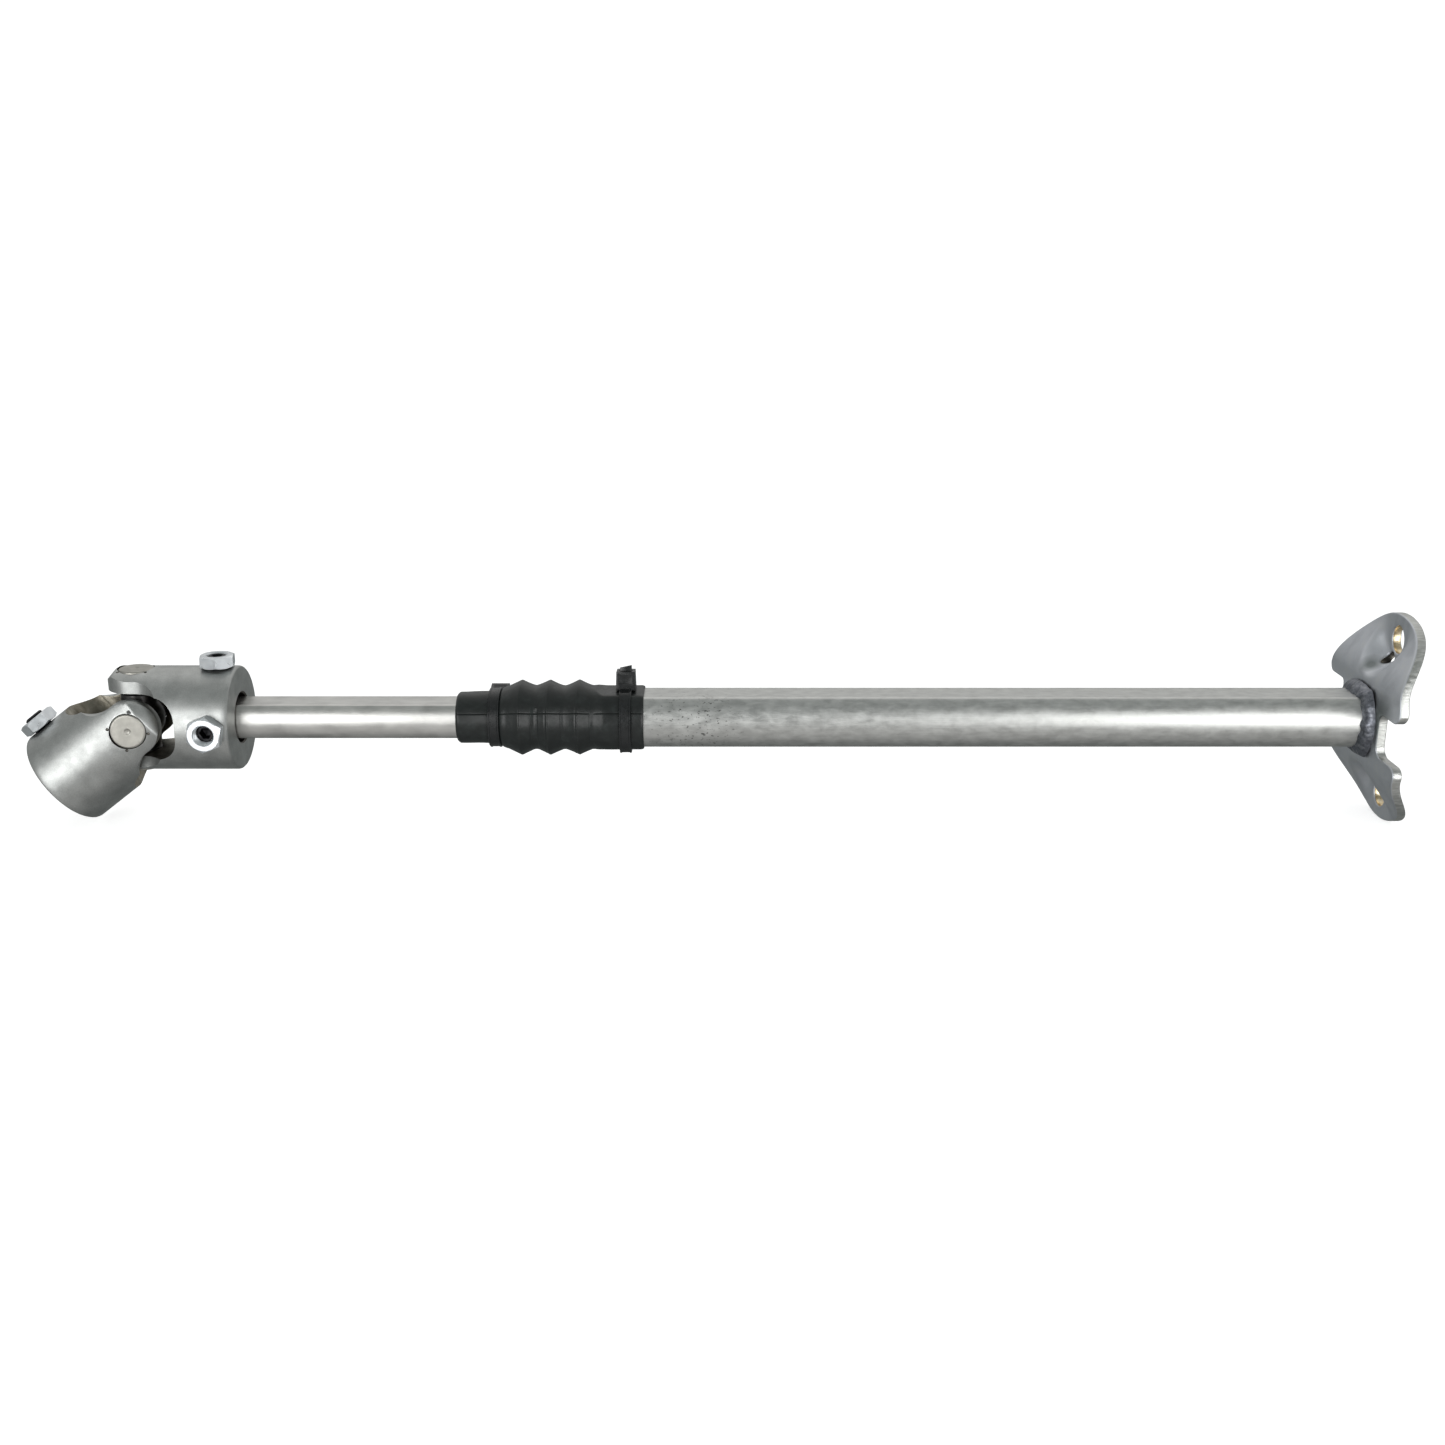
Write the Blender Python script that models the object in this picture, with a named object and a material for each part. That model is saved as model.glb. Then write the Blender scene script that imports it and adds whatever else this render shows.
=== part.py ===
"""Telescoping universal joint shaft, modelled in metres with +Z up.

The shaft's axis lies along X. The origin is the centre of the flange's outer face, and the
joint is at the far -X end. Every piece that comes apart on a bench is one closed object.
"""

import math

import bmesh
import bpy
import numpy as np
from mathutils import Matrix, Vector
from mathutils.geometry import delaunay_2d_cdt

MM = 0.001
GAP = 0.3 * MM

# Stock sizes: 3/4 in double-D bar inside 1 in double-D tube
BAR_RADIUS = 9.525 * MM
BAR_HALF_FLAT = 6.86 * MM
TUBE_RADIUS = 12.7 * MM
TUBE_HALF_FLAT = 10.16 * MM
TUBE_BORE_RADIUS = BAR_RADIUS + GAP
TUBE_BORE_HALF_FLAT = BAR_HALF_FLAT + GAP
TUBE_LENGTH = 303.0 * MM
BAR_OVERLAP = 120.0 * MM

# Universal joint, 1-5/8 in outside diameter
JOINT_X = -488.7 * MM
YOKE_RADIUS = 20.64 * MM
YOKE_LENGTH = 40.3 * MM
YOKE_END_CHAMFER = 1.0 * MM
FORK_DEPTH = 19.6 * MM
FORK_HALF_GAP = 12.6 * MM
FORK_CORNER = 9.5 * MM
EAR_RADIUS = 11.0 * MM
EAR_CHAMFER_START = 7.2 * MM
EAR_CHAMFER_DROP = 4.3 * MM
EAR_FLARE_START = 1.6 * MM
EAR_FLARE_RADIUS = 12.0 * MM
BEARING_HOLE_RADIUS = 7.15 * MM
CROSS_YAW = math.radians(4.25)
BOX_DROOP = math.radians(37.25)

# Bearings, all measured outwards from the joint's centre
CUP_RADIUS = BEARING_HOLE_RADIUS - GAP
CUP_FACE = 20.3 * MM
CUP_MOUTH = 12.9 * MM
CUP_BORE_RADIUS = 6.1 * MM
CUP_FLOOR = 19.1 * MM
TRUNNION_RADIUS = 4.1 * MM
TRUNNION_END = 18.8 * MM
HUB_RADIUS = 7.0 * MM
HUB_END = 10.6 * MM
HUB_BALL_RADIUS = 9.2 * MM
NEEDLE_COUNT = 14
NEEDLE_RADIUS = 0.7 * MM
NEEDLE_WEB = 0.35 * MM
NEEDLE_PITCH_RADIUS = 5.1 * MM
NEEDLE_START = 13.2 * MM
SEAL_START = 10.9 * MM
SEAL_END = 12.5 * MM

# Set screws, 5/16 in, and their jam nuts
SCREW_SETBACK = 8.0 * MM
SCREW_RADIUS = 3.95 * MM
SCREW_HOLE_RADIUS = SCREW_RADIUS + GAP
SOCKET_ACROSS = 3.97 * MM
SOCKET_DEPTH = 4.5 * MM
NUT_ACROSS = 12.7 * MM
NUT_HEIGHT = 4.76 * MM
NUT_SEAT = YOKE_RADIUS + GAP

# Bores of the two yokes
BORE_RADIUS = BAR_RADIUS + GAP
BORE_HALF_FLAT = BAR_HALF_FLAT + GAP
MOUTH_RADIUS = 9.95 * MM
MOUTH_CHAMFER = 0.5 * MM
BAR_MOUTH_DEPTH = 15.0 * MM
BOX_MOUTH_DEPTH = 1.5 * MM
SPLINE_COUNT = 36
SPLINE_ROOT_RADIUS = 9.75 * MM
SPLINE_CREST_RADIUS = 9.2 * MM

# Boot: a round collar on the bar, round ridges, and a double-D sleeve on the tube
BOOT_COLLAR_RADIUS = 10.45 * MM
BOOT_PEAK_RADIUS = 15.2 * MM
BOOT_VALLEY_RADIUS = 12.3 * MM
BOOT_WALL = 1.0 * MM
BOOT_START = -362.1 * MM
BOOT_RIDGES = (-336.1 * MM, -324.7 * MM, -313.1 * MM)
BOOT_RIDGE_HALF_WIDTH = 5.2 * MM
BOOT_SLEEVE_START = -309.0 * MM
BOOT_END = -288.1 * MM
SLEEVE_RADIUS = TUBE_RADIUS + GAP + BOOT_WALL
SLEEVE_HALF_FLAT = TUBE_HALF_FLAT + GAP + BOOT_WALL

# Cable ties: centre of the band along X, and its width
SMALL_TIE_X = -346.9 * MM
LARGE_TIE_X = -295.3 * MM
TIE_WIDTH = 4.8 * MM
TIE_THICKNESS = 1.2 * MM
TIE_HEAD = Vector((7.8, 8.0, 7.0)) * MM
SMALL_TIE_TURN = math.radians(70.0)
LARGE_TIE_TURN = math.radians(4.0)

# Flange, pressed from plate; u runs across it and v up it, both from the shaft's axis
PLATE = 3.7 * MM
PRESS_DEPTH = 12.0 * MM
WAIST_HALF_WIDTH = 19.5 * MM
NOTCH_HIGH = 10.2 * MM
NOTCH_LOW = 7.0 * MM
NOTCH_FILLET = 3.4 * MM
EAR_HALF_WIDTH = 36.3 * MM
EAR_CORNER = 3.6 * MM
EAR_TIP = 41.8 * MM
BOLT_OFFSET = 31.75 * MM
BOLT_HOLE_RADIUS = 5.55 * MM
RELIEF_HOLE_RADIUS = 2.4 * MM
RELIEF_HOLE_U = 3.5 * MM
RELIEF_HOLE_V = 23.6 * MM
PAD_RADIUS = 8.4 * MM
PAD_WALL = 6.5 * MM
PAD_CENTRE = 32.0 * MM
RIM_LIP = 0.8 * MM
GRID = 3.5 * MM

WELD_LEG = 4.9 * MM
WELD_LENGTH = 5.2 * MM

OD_SEGMENTS = 40
PIN_SEGMENTS = 24
SECTION_POINTS = 11
ROUND_SHARE = 0.995


def clear_scene():
    for obj in list(bpy.data.objects):
        bpy.data.objects.remove(obj, do_unlink=True)
    for mesh in list(bpy.data.meshes):
        bpy.data.meshes.remove(mesh)


def material(name, colour, roughness, metallic):
    mat = bpy.data.materials.new(name)
    mat.use_nodes = True
    shader = mat.node_tree.nodes["Principled BSDF"]
    shader.inputs["Base Color"].default_value = (*colour, 1.0)
    shader.inputs["Roughness"].default_value = roughness
    shader.inputs["Metallic"].default_value = metallic
    return mat


def add_object(name, bm, mat, parent=None, sharp=30.0):
    """Turns a bmesh into an object that is smooth except at its sharp edges."""
    bmesh.ops.recalc_face_normals(bm, faces=bm.faces)
    mesh = bpy.data.meshes.new(name)
    bm.to_mesh(mesh)
    bm.free()
    mesh.shade_smooth()
    mesh.set_sharp_from_angle(angle=math.radians(sharp))
    if mat:
        mesh.materials.append(mat)
    obj = bpy.data.objects.new(name, mesh)
    bpy.context.scene.collection.objects.link(obj)
    obj.parent = parent
    return obj


def pivot(name, matrix, parent=None):
    empty = bpy.data.objects.new(name, None)
    bpy.context.scene.collection.objects.link(empty)
    empty.parent = parent
    empty.matrix_local = matrix
    return empty


def cut(obj, cutter):
    """Subtracts a hidden cutter from an object."""
    cutter.hide_render = True
    cutter.display_type = "WIRE"
    boolean = obj.modifiers.new(cutter.name, "BOOLEAN")
    boolean.operation = "DIFFERENCE"
    boolean.solver = "EXACT"
    boolean.object = cutter


def smoothstep(t):
    t = min(max(t, 0.0), 1.0)
    return t * t * (3.0 - 2.0 * t)


def arc(centre, radius, start, end, count):
    """Points along an arc, with both angles in degrees."""
    angles = [math.radians(start + (end - start) * i / (count - 1)) for i in range(count)]
    return [(centre[0] + radius * math.cos(a), centre[1] + radius * math.sin(a)) for a in angles]


def turned(profile, segments):
    """Spins a closed (x, radius) profile about the X axis."""
    bm = bmesh.new()
    verts = [bm.verts.new((x, r, 0.0)) for x, r in profile]
    edges = [bm.edges.new((a, b)) for a, b in zip(verts, verts[1:] + verts[:1])]
    bmesh.ops.spin(
        bm,
        geom=verts + edges,
        cent=(0.0, 0.0, 0.0),
        axis=(1.0, 0.0, 0.0),
        angle=math.tau,
        steps=segments,
        use_merge=True,
    )
    bmesh.ops.remove_doubles(bm, verts=bm.verts, dist=1e-7)
    bmesh.ops.dissolve_degenerate(bm, edges=bm.edges, dist=1e-7)
    loose = [e for e in bm.edges if not e.link_faces]
    bmesh.ops.delete(bm, geom=loose, context="EDGES")
    return bm


def prism(outline, start, end):
    """Extrudes an outline in the XY plane from z = start to z = end."""
    bm = bmesh.new()
    face = bm.faces.new([bm.verts.new((x, y, start)) for x, y in outline])
    raised = bmesh.ops.extrude_face_region(bm, geom=[face])["geom"]
    moved = [v for v in raised if isinstance(v, bmesh.types.BMVert)]
    bmesh.ops.translate(bm, verts=moved, vec=(0.0, 0.0, end - start))
    return bm


def rotated(bm, angle, axis):
    bmesh.ops.rotate(bm, verts=bm.verts, cent=(0, 0, 0), matrix=Matrix.Rotation(angle, 3, axis))
    return bm


def shifted(bm, vector):
    bmesh.ops.translate(bm, verts=bm.verts, vec=vector)
    return bm


def x_to(bm, axis, sign=1):
    """Turns a shape made along +X so that it runs along Z or Y; sign -1 points it the other way."""
    if axis == "Z":
        return rotated(bm, -sign * math.pi / 2, "Y")
    return rotated(bm, sign * math.pi / 2, "Z")


def loft(sections):
    """Joins rings of points, each at its own x, into a closed loop of skins."""
    bm = bmesh.new()
    rings = [[bm.verts.new((x, y, z)) for y, z in points] for x, points in sections]
    for ring, following in zip(rings, rings[1:] + rings[:1]):
        for i in range(len(ring)):
            j = (i + 1) % len(ring)
            bm.faces.new((ring[i], ring[j], following[j], following[i]))
    return bm


def capped_loft(sections):
    """Joins rings of points at rising x, and closes both ends."""
    bm = bmesh.new()
    rings = [[bm.verts.new((x, y, z)) for y, z in points] for x, points in sections]
    for ring, following in zip(rings, rings[1:]):
        for i in range(len(ring)):
            j = (i + 1) % len(ring)
            bm.faces.new((ring[i], ring[j], following[j], following[i]))
    bm.faces.new(rings[0])
    bm.faces.new(rings[-1])
    return bm


def section(radius, half_flat):
    """(y, z) points round a double-D section; the flats of a round one are just one facet."""
    corner = math.degrees(math.asin(min(half_flat / radius, ROUND_SHARE)))
    right = arc((0, 0), radius, -corner, corner, SECTION_POINTS)
    left = arc((0, 0), radius, 180 - corner, 180 + corner, SECTION_POINTS)
    return right + left


# Universal joint: local +X runs from the joint's centre to the yoke's open end, Z along its pins


def yoke_blank():
    tip = -EAR_RADIUS
    return turned(
        [
            (tip - MM, 0.0),
            (tip - MM, YOKE_RADIUS - EAR_CHAMFER_DROP - MM),
            (-EAR_CHAMFER_START, YOKE_RADIUS),
            (YOKE_LENGTH - YOKE_END_CHAMFER, YOKE_RADIUS),
            (YOKE_LENGTH, YOKE_RADIUS - YOKE_END_CHAMFER),
            (YOKE_LENGTH, 0.0),
        ],
        OD_SEGMENTS,
    )


def fork_cutter():
    """The milled slot between the ears, drawn in XZ and run across Y."""
    reach = 2 * YOKE_RADIUS
    corner_x = FORK_DEPTH - FORK_CORNER
    corner_z = FORK_HALF_GAP - FORK_CORNER
    outline = [(-reach, -FORK_HALF_GAP)]
    outline += arc((corner_x, -corner_z), FORK_CORNER, -90, 0, 7)
    outline += arc((corner_x, corner_z), FORK_CORNER, 0, 90, 7)
    outline += [(-reach, FORK_HALF_GAP)]
    return rotated(prism(outline, -reach, reach), math.pi / 2, "X")


def ear_cutter():
    """What is milled away round both ears: their round tips, straight sides and flared roots."""
    reach = 2 * YOKE_RADIUS
    flare_y = EAR_RADIUS + EAR_FLARE_RADIUS
    flare_x = EAR_FLARE_START + EAR_FLARE_RADIUS
    upper = arc((EAR_FLARE_START, flare_y), EAR_FLARE_RADIUS, 0, -90, 8)
    tip = arc((0, 0), EAR_RADIUS, 90, 270, 17)
    lower = [(x, -y) for x, y in reversed(upper)]
    outline = [(-reach, reach), (flare_x, reach)] + upper + tip + lower
    outline += [(flare_x, -reach), (-reach, -reach)]
    return prism(outline, -reach, reach)


def double_d_bore():
    """Double-D bore that fits the bar."""
    hole = section(BORE_RADIUS, BORE_HALF_FLAT)
    return capped_loft([(FORK_DEPTH / 2, hole), (YOKE_LENGTH + MM, hole)])


def splined_bore():
    """Fine-splined bore for the steering box's input shaft."""
    hole = []
    for i in range(2 * SPLINE_COUNT):
        angle = math.pi * (i + 0.5) / SPLINE_COUNT
        radius = SPLINE_ROOT_RADIUS if i % 2 else SPLINE_CREST_RADIUS
        hole.append((radius * math.cos(angle), radius * math.sin(angle)))
    return capped_loft([(FORK_DEPTH / 2, hole), (YOKE_LENGTH + MM, hole)])


def bore_mouth(depth):
    """Round counterbore of the given depth, with a chamfered lip."""
    start = YOKE_LENGTH - depth
    lip = YOKE_LENGTH - MOUTH_CHAMFER
    return turned(
        [
            (start, 0.0),
            (start, MOUTH_RADIUS),
            (lip, MOUTH_RADIUS),
            (YOKE_LENGTH + MM, MOUTH_RADIUS + 2 * MOUTH_CHAMFER + MM),
            (YOKE_LENGTH + MM, 0.0),
        ],
        PIN_SEGMENTS,
    )


def pin_hole():
    reach = 2 * YOKE_RADIUS
    profile = [(-reach, 0), (-reach, BEARING_HOLE_RADIUS), (reach, BEARING_HOLE_RADIUS), (reach, 0)]
    return x_to(turned(profile, PIN_SEGMENTS), "Z")


def screw_hole(axis, sign):
    reach = 2 * YOKE_RADIUS
    start = BORE_RADIUS / 2
    profile = [(start, 0), (start, SCREW_HOLE_RADIUS), (reach, SCREW_HOLE_RADIUS), (reach, 0)]
    hole = x_to(turned(profile, 20), axis, sign)
    return shifted(hole, (YOKE_LENGTH - SCREW_SETBACK, 0, 0))


def make_yoke(name, mat, parent, bore, mouth_depth, screw_directions):
    yoke = add_object(name, yoke_blank(), mat, parent)
    cut(yoke, add_object(f"{name}_fork_cutter", fork_cutter(), None, parent))
    cut(yoke, add_object(f"{name}_ear_cutter", ear_cutter(), None, parent))
    cut(yoke, add_object(f"{name}_pin_cutter", pin_hole(), None, parent))
    cut(yoke, add_object(f"{name}_bore_cutter", bore, None, parent))
    cut(yoke, add_object(f"{name}_mouth_cutter", bore_mouth(mouth_depth), None, parent))
    for i, (axis, sign) in enumerate(screw_directions):
        cutter = add_object(f"{name}_screw_cutter_{i}", screw_hole(axis, sign), None, parent)
        cut(yoke, cutter)
    return yoke


def make_bearing(place, axis, sign, parent, cup_parent, mats):
    """Cup, needle ring and seal on one trunnion; the trunnion lies along an axis of the parent."""
    cup = [
        (CUP_MOUTH, CUP_BORE_RADIUS),
        (CUP_MOUTH, CUP_RADIUS),
        (CUP_FACE - 0.5 * MM, CUP_RADIUS),
        (CUP_FACE, CUP_RADIUS - 0.5 * MM),
        (CUP_FACE, 0.0),
        (CUP_FLOOR, 0.0),
        (CUP_FLOOR, CUP_BORE_RADIUS),
    ]
    add_object(
        f"bearing_cup_{place}", x_to(turned(cup, PIN_SEGMENTS), axis, sign), mats["cup"], cup_parent
    )
    outer = needle_outline(1)
    inner = needle_outline(-1)
    ring = loft(
        [
            (NEEDLE_START, inner),
            (NEEDLE_START, outer),
            (TRUNNION_END, outer),
            (TRUNNION_END, inner),
        ]
    )
    add_object(f"needle_ring_{place}", x_to(ring, axis, sign), mats["needle"], parent)
    seal = [
        (SEAL_START, TRUNNION_RADIUS + GAP),
        (SEAL_START, HUB_RADIUS - 0.4 * MM),
        (SEAL_END, HUB_RADIUS),
        (SEAL_END, TRUNNION_RADIUS + GAP),
    ]
    add_object(f"cross_seal_{place}", x_to(turned(seal, 20), axis, sign), mats["seal"], parent)


def needle_outline(side):
    """Outer (+1) or inner (-1) scalloped edge of a full ring of needles that touch each other."""
    points = []
    for i in range(2 * NEEDLE_COUNT):
        angle = math.pi * i / NEEDLE_COUNT
        height = NEEDLE_WEB if i % 2 else NEEDLE_RADIUS
        radius = NEEDLE_PITCH_RADIUS + side * height
        points.append((radius * math.cos(angle), radius * math.sin(angle)))
    return points


def make_cross(mat, parent):
    """Forged spider: a round hub with a shouldered trunnion on each of four sides."""
    arm = [
        (-TRUNNION_END, 0.0),
        (-TRUNNION_END, TRUNNION_RADIUS - 0.5 * MM),
        (0.5 * MM - TRUNNION_END, TRUNNION_RADIUS),
        (-HUB_END, TRUNNION_RADIUS),
        (-HUB_END, HUB_RADIUS),
        (HUB_END, HUB_RADIUS),
        (HUB_END, TRUNNION_RADIUS),
        (TRUNNION_END - 0.5 * MM, TRUNNION_RADIUS),
        (TRUNNION_END, TRUNNION_RADIUS - 0.5 * MM),
        (TRUNNION_END, 0.0),
    ]
    cross = add_object("cross", x_to(turned(arm, 20), "Z"), mat, parent)
    other_arm = add_object("cross_arm_tool", x_to(turned(arm, 20), "Y"), None, parent)
    ball = bmesh.new()
    bmesh.ops.create_uvsphere(ball, u_segments=16, v_segments=10, radius=HUB_BALL_RADIUS)
    hub = add_object("cross_hub_tool", ball, None, parent)
    for tool in (other_arm, hub):
        cut(cross, tool)
        cross.modifiers[-1].operation = "UNION"


def make_screw(name, axis, sign, tip, top, mat, parent):
    """Socket set screw whose tip and top are measured from the yoke's axis."""
    body = [
        (tip, 0.0),
        (tip, SCREW_RADIUS - 1.2 * MM),
        (tip + 1.0 * MM, SCREW_RADIUS),
        (top - 0.5 * MM, SCREW_RADIUS),
        (top, SCREW_RADIUS - 0.6 * MM),
        (top, 0.0),
    ]
    corners = arc((0, 0), SOCKET_ACROSS / math.sqrt(3), 0, 300, 6)
    socket = capped_loft([(top - SOCKET_DEPTH, corners), (top + MM, corners)])
    place = (YOKE_LENGTH - SCREW_SETBACK, 0, 0)
    screw = add_object(name, shifted(x_to(turned(body, 20), axis, sign), place), mat, parent)
    cutter = shifted(x_to(socket, axis, sign), place)
    cut(screw, add_object(f"{name}_socket_cutter", cutter, None, parent))


def make_nut(name, axis, sign, turn, mat, parent):
    """Hexagon jam nut seated on the yoke; turn is the angle of its corners."""
    corners = arc((0, 0), NUT_ACROSS / math.sqrt(3), turn, turn + 360 - 15, 24)
    flat = []
    for y, z in corners:
        angle = (math.degrees(math.atan2(z, y)) - turn) % 60
        reach = (NUT_ACROSS / 2) / math.cos(math.radians(angle - 30))
        size = math.hypot(y, z)
        flat.append((y * reach / size, z * reach / size))
    hole = arc((0, 0), SCREW_HOLE_RADIUS, turn, turn + 360 - 15, 24)
    top = NUT_SEAT + NUT_HEIGHT
    nut = loft([(NUT_SEAT, hole), (NUT_SEAT, flat), (top, flat), (top, hole)])
    nut = shifted(x_to(nut, axis, sign), (YOKE_LENGTH - SCREW_SETBACK, 0, 0))
    add_object(name, nut, mat, parent)


def make_joint(mats):
    at_joint = pivot("telescope_pivot", Matrix.Translation((JOINT_X, 0, 0)))
    cross_pivot = pivot("cross_pivot", Matrix.Rotation(CROSS_YAW, 4, "Z"), at_joint)
    # Facing the other way along X, with the pins that were along Z now along Y, then drooped
    turned_over = Matrix(((-1, 0, 0), (0, 0, -1), (0, -1, 0))).to_4x4()
    drooped = Matrix.Rotation(-BOX_DROOP, 4, "Y") @ turned_over
    box_pivot = pivot("yoke_pivot", drooped, cross_pivot)

    bar_screws = (("Z", 1), ("Y", -1))
    box_screw = ("Y", -1)
    bar_bore = double_d_bore()
    box_bore = splined_bore()
    make_yoke("shaft_yoke", mats["yoke"], at_joint, bar_bore, BAR_MOUTH_DEPTH, bar_screws)
    make_yoke("box_yoke", mats["yoke"], box_pivot, box_bore, BOX_MOUTH_DEPTH, [box_screw])
    make_cross(mats["cross"], cross_pivot)
    for place, sign in (("top", 1), ("bottom", -1)):
        make_bearing(place, "Z", sign, cross_pivot, at_joint, mats)
    for place, sign in (("front", -1), ("back", 1)):
        make_bearing(place, "Y", sign, cross_pivot, cross_pivot, mats)

    top_tip = BAR_HALF_FLAT + GAP
    side_tip = BAR_RADIUS + GAP
    make_screw("set_screw_top", "Z", 1, top_tip, top_tip + 18.3 * MM, mats["screw"], at_joint)
    make_screw("set_screw_front", "Y", -1, side_tip, side_tip + 12.7 * MM, mats["screw"], at_joint)
    box_tip = SPLINE_ROOT_RADIUS + 1.1 * MM
    make_screw("set_screw_box", *box_screw, box_tip, box_tip + 15.9 * MM, mats["screw"], box_pivot)
    make_nut("jam_nut_top", "Z", 1, 10.0, mats["nut"], at_joint)
    make_nut("jam_nut_front", "Y", -1, 22.0, mats["nut"], at_joint)
    make_nut("jam_nut_box", *box_screw, 18.0, mats["nut"], box_pivot)


# Sliding shaft, boot and ties


def make_bar_and_tube(mats):
    bar_start = JOINT_X + FORK_DEPTH + 0.4 * MM
    tube_end = -PLATE - GAP
    tube_start = tube_end - TUBE_LENGTH
    bar_end = tube_start + BAR_OVERLAP
    bar = section(BAR_RADIUS, BAR_HALF_FLAT)
    add_object("inner_shaft", capped_loft([(bar_start, bar), (bar_end, bar)]), mats["bar"])
    outside = section(TUBE_RADIUS, TUBE_HALF_FLAT)
    bore = section(TUBE_BORE_RADIUS, TUBE_BORE_HALF_FLAT)
    sections = [(tube_start, bore), (tube_start, outside), (tube_end, outside), (tube_end, bore)]
    add_object("outer_tube", loft(sections), mats["tube"])


def boot_radius(x):
    """Outside radius of the boot between its collar and its sleeve."""
    ridge = max(0.0, 1.0 - min(abs(x - peak) for peak in BOOT_RIDGES) / BOOT_RIDGE_HALF_WIDTH)
    return BOOT_VALLEY_RADIUS + (BOOT_PEAK_RADIUS - BOOT_VALLEY_RADIUS) * ridge**1.3


def make_boot(mat):
    collar_end = BOOT_RIDGES[0] - 8.5 * MM
    bore = (TUBE_BORE_RADIUS, TUBE_BORE_HALF_FLAT)
    outer = [(BOOT_START, BOOT_COLLAR_RADIUS, BOOT_COLLAR_RADIUS)]
    outer.append((collar_end, BOOT_COLLAR_RADIUS, BOOT_COLLAR_RADIUS))
    first = BOOT_RIDGES[0] - BOOT_RIDGE_HALF_WIDTH
    steps = 13
    for i in range(steps):
        x = first + (BOOT_SLEEVE_START - first) * i / (steps - 1)
        outer.append((x, boot_radius(x), boot_radius(x)))
    outer.append((BOOT_SLEEVE_START + 3.0 * MM, SLEEVE_RADIUS, SLEEVE_HALF_FLAT))
    outer.append((BOOT_END, SLEEVE_RADIUS, SLEEVE_HALF_FLAT))
    sleeve_bore = (SLEEVE_RADIUS - BOOT_WALL, SLEEVE_HALF_FLAT - BOOT_WALL)
    inner = [(BOOT_END, *sleeve_bore), (BOOT_SLEEVE_START, *sleeve_bore)]
    valley = BOOT_VALLEY_RADIUS - BOOT_WALL
    inner.append((BOOT_SLEEVE_START - 4.0 * MM, valley, valley))
    inner.append((first, valley, valley))
    inner.append((collar_end, *bore))
    inner.append((BOOT_START, *bore))
    sections = [(x, section(radius, flat)) for x, radius, flat in outer + inner]
    add_object("dust_boot", loft(sections), mat, sharp=50.0)


def make_tie(name, x, radius, half_flat, turn, mat):
    """Band that follows what it clamps, joined to a head that stands on it."""
    low = section(radius, half_flat)
    high = section(radius + TIE_THICKNESS, half_flat + TIE_THICKNESS)
    left = x - TIE_WIDTH / 2
    right = x + TIE_WIDTH / 2
    band = loft([(left, low), (left, high), (right, high), (right, low)])
    tie = add_object(name, band, mat)
    head = bmesh.new()
    bmesh.ops.create_cube(head, size=1.0)
    bmesh.ops.scale(head, verts=head.verts, vec=TIE_HEAD)
    height = half_flat + TIE_THICKNESS / 2 + TIE_HEAD.z / 2
    shifted(head, (x, 0, height))
    tool = add_object(f"{name}_head_tool", rotated(head, turn, "X"), None)
    cut(tie, tool)
    tie.modifiers[-1].operation = "UNION"


def make_ties(mat):
    small = BOOT_COLLAR_RADIUS + GAP
    make_tie("cable_tie_small", SMALL_TIE_X, small, small, -SMALL_TIE_TURN, mat)
    radius = SLEEVE_RADIUS + GAP
    make_tie("cable_tie_large", LARGE_TIE_X, radius, SLEEVE_HALF_FLAT + GAP, -LARGE_TIE_TURN, mat)


# Flange and weld


def press(u, v):
    """How far the plate is pressed towards +X at (u, v)."""
    u = abs(u)
    v = abs(v)
    lip = RIM_LIP * smoothstep((v - 6 * MM) / (6 * MM))
    ramp = lip + (PRESS_DEPTH - RIM_LIP) * smoothstep((v - 15 * MM) / (26 * MM))
    reach = u if v > PAD_CENTRE else math.hypot(u, v - PAD_CENTRE)
    pad = 1 - smoothstep((reach - PAD_RADIUS) / PAD_WALL)
    return ramp * (1 - pad) + PRESS_DEPTH * pad


def plate_faces(u, v):
    """x of the plate's two faces; the wall grows along X where it is steep, so it is never thin."""
    step = 0.25 * MM
    along_u = (press(u + step, v) - press(u - step, v)) / (2 * step)
    along_v = (press(u, v + step) - press(u, v - step)) / (2 * step)
    steepness = min(math.sqrt(1 + along_u**2 + along_v**2) - 1, 1.0)
    depth = press(u, v)
    return depth - PLATE, depth + 0.35 * PLATE * steepness


def quarter_outline(notch):
    """(u, v) from the waist round one ear to its tip; notch is the height of the notch's edge."""
    start = (WAIST_HALF_WIDTH + NOTCH_FILLET, notch - NOTCH_FILLET)
    points = arc(start, NOTCH_FILLET, 180, 90, 4)
    corner_u = EAR_HALF_WIDTH - EAR_CORNER
    corner_v = notch + EAR_CORNER
    points += arc((corner_u, corner_v), EAR_CORNER, -90, 0, 4)[:-1]
    low = math.asin(corner_v / EAR_TIP)
    wide = EAR_HALF_WIDTH / math.cos(low)
    steps = 12
    for i in range(steps + 1):
        angle = low + (math.pi / 2 - low) * i / steps
        points.append((wide * math.cos(angle), EAR_TIP * math.sin(angle)))
    return points


def flange_outline():
    """The whole outline; it is the same after half a turn about the shaft's axis."""
    low = quarter_outline(NOTCH_LOW)
    high = quarter_outline(NOTCH_HIGH)
    upper = low + [(-u, v) for u, v in reversed(high)][1:]
    return upper + [(-u, -v) for u, v in upper]


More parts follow.
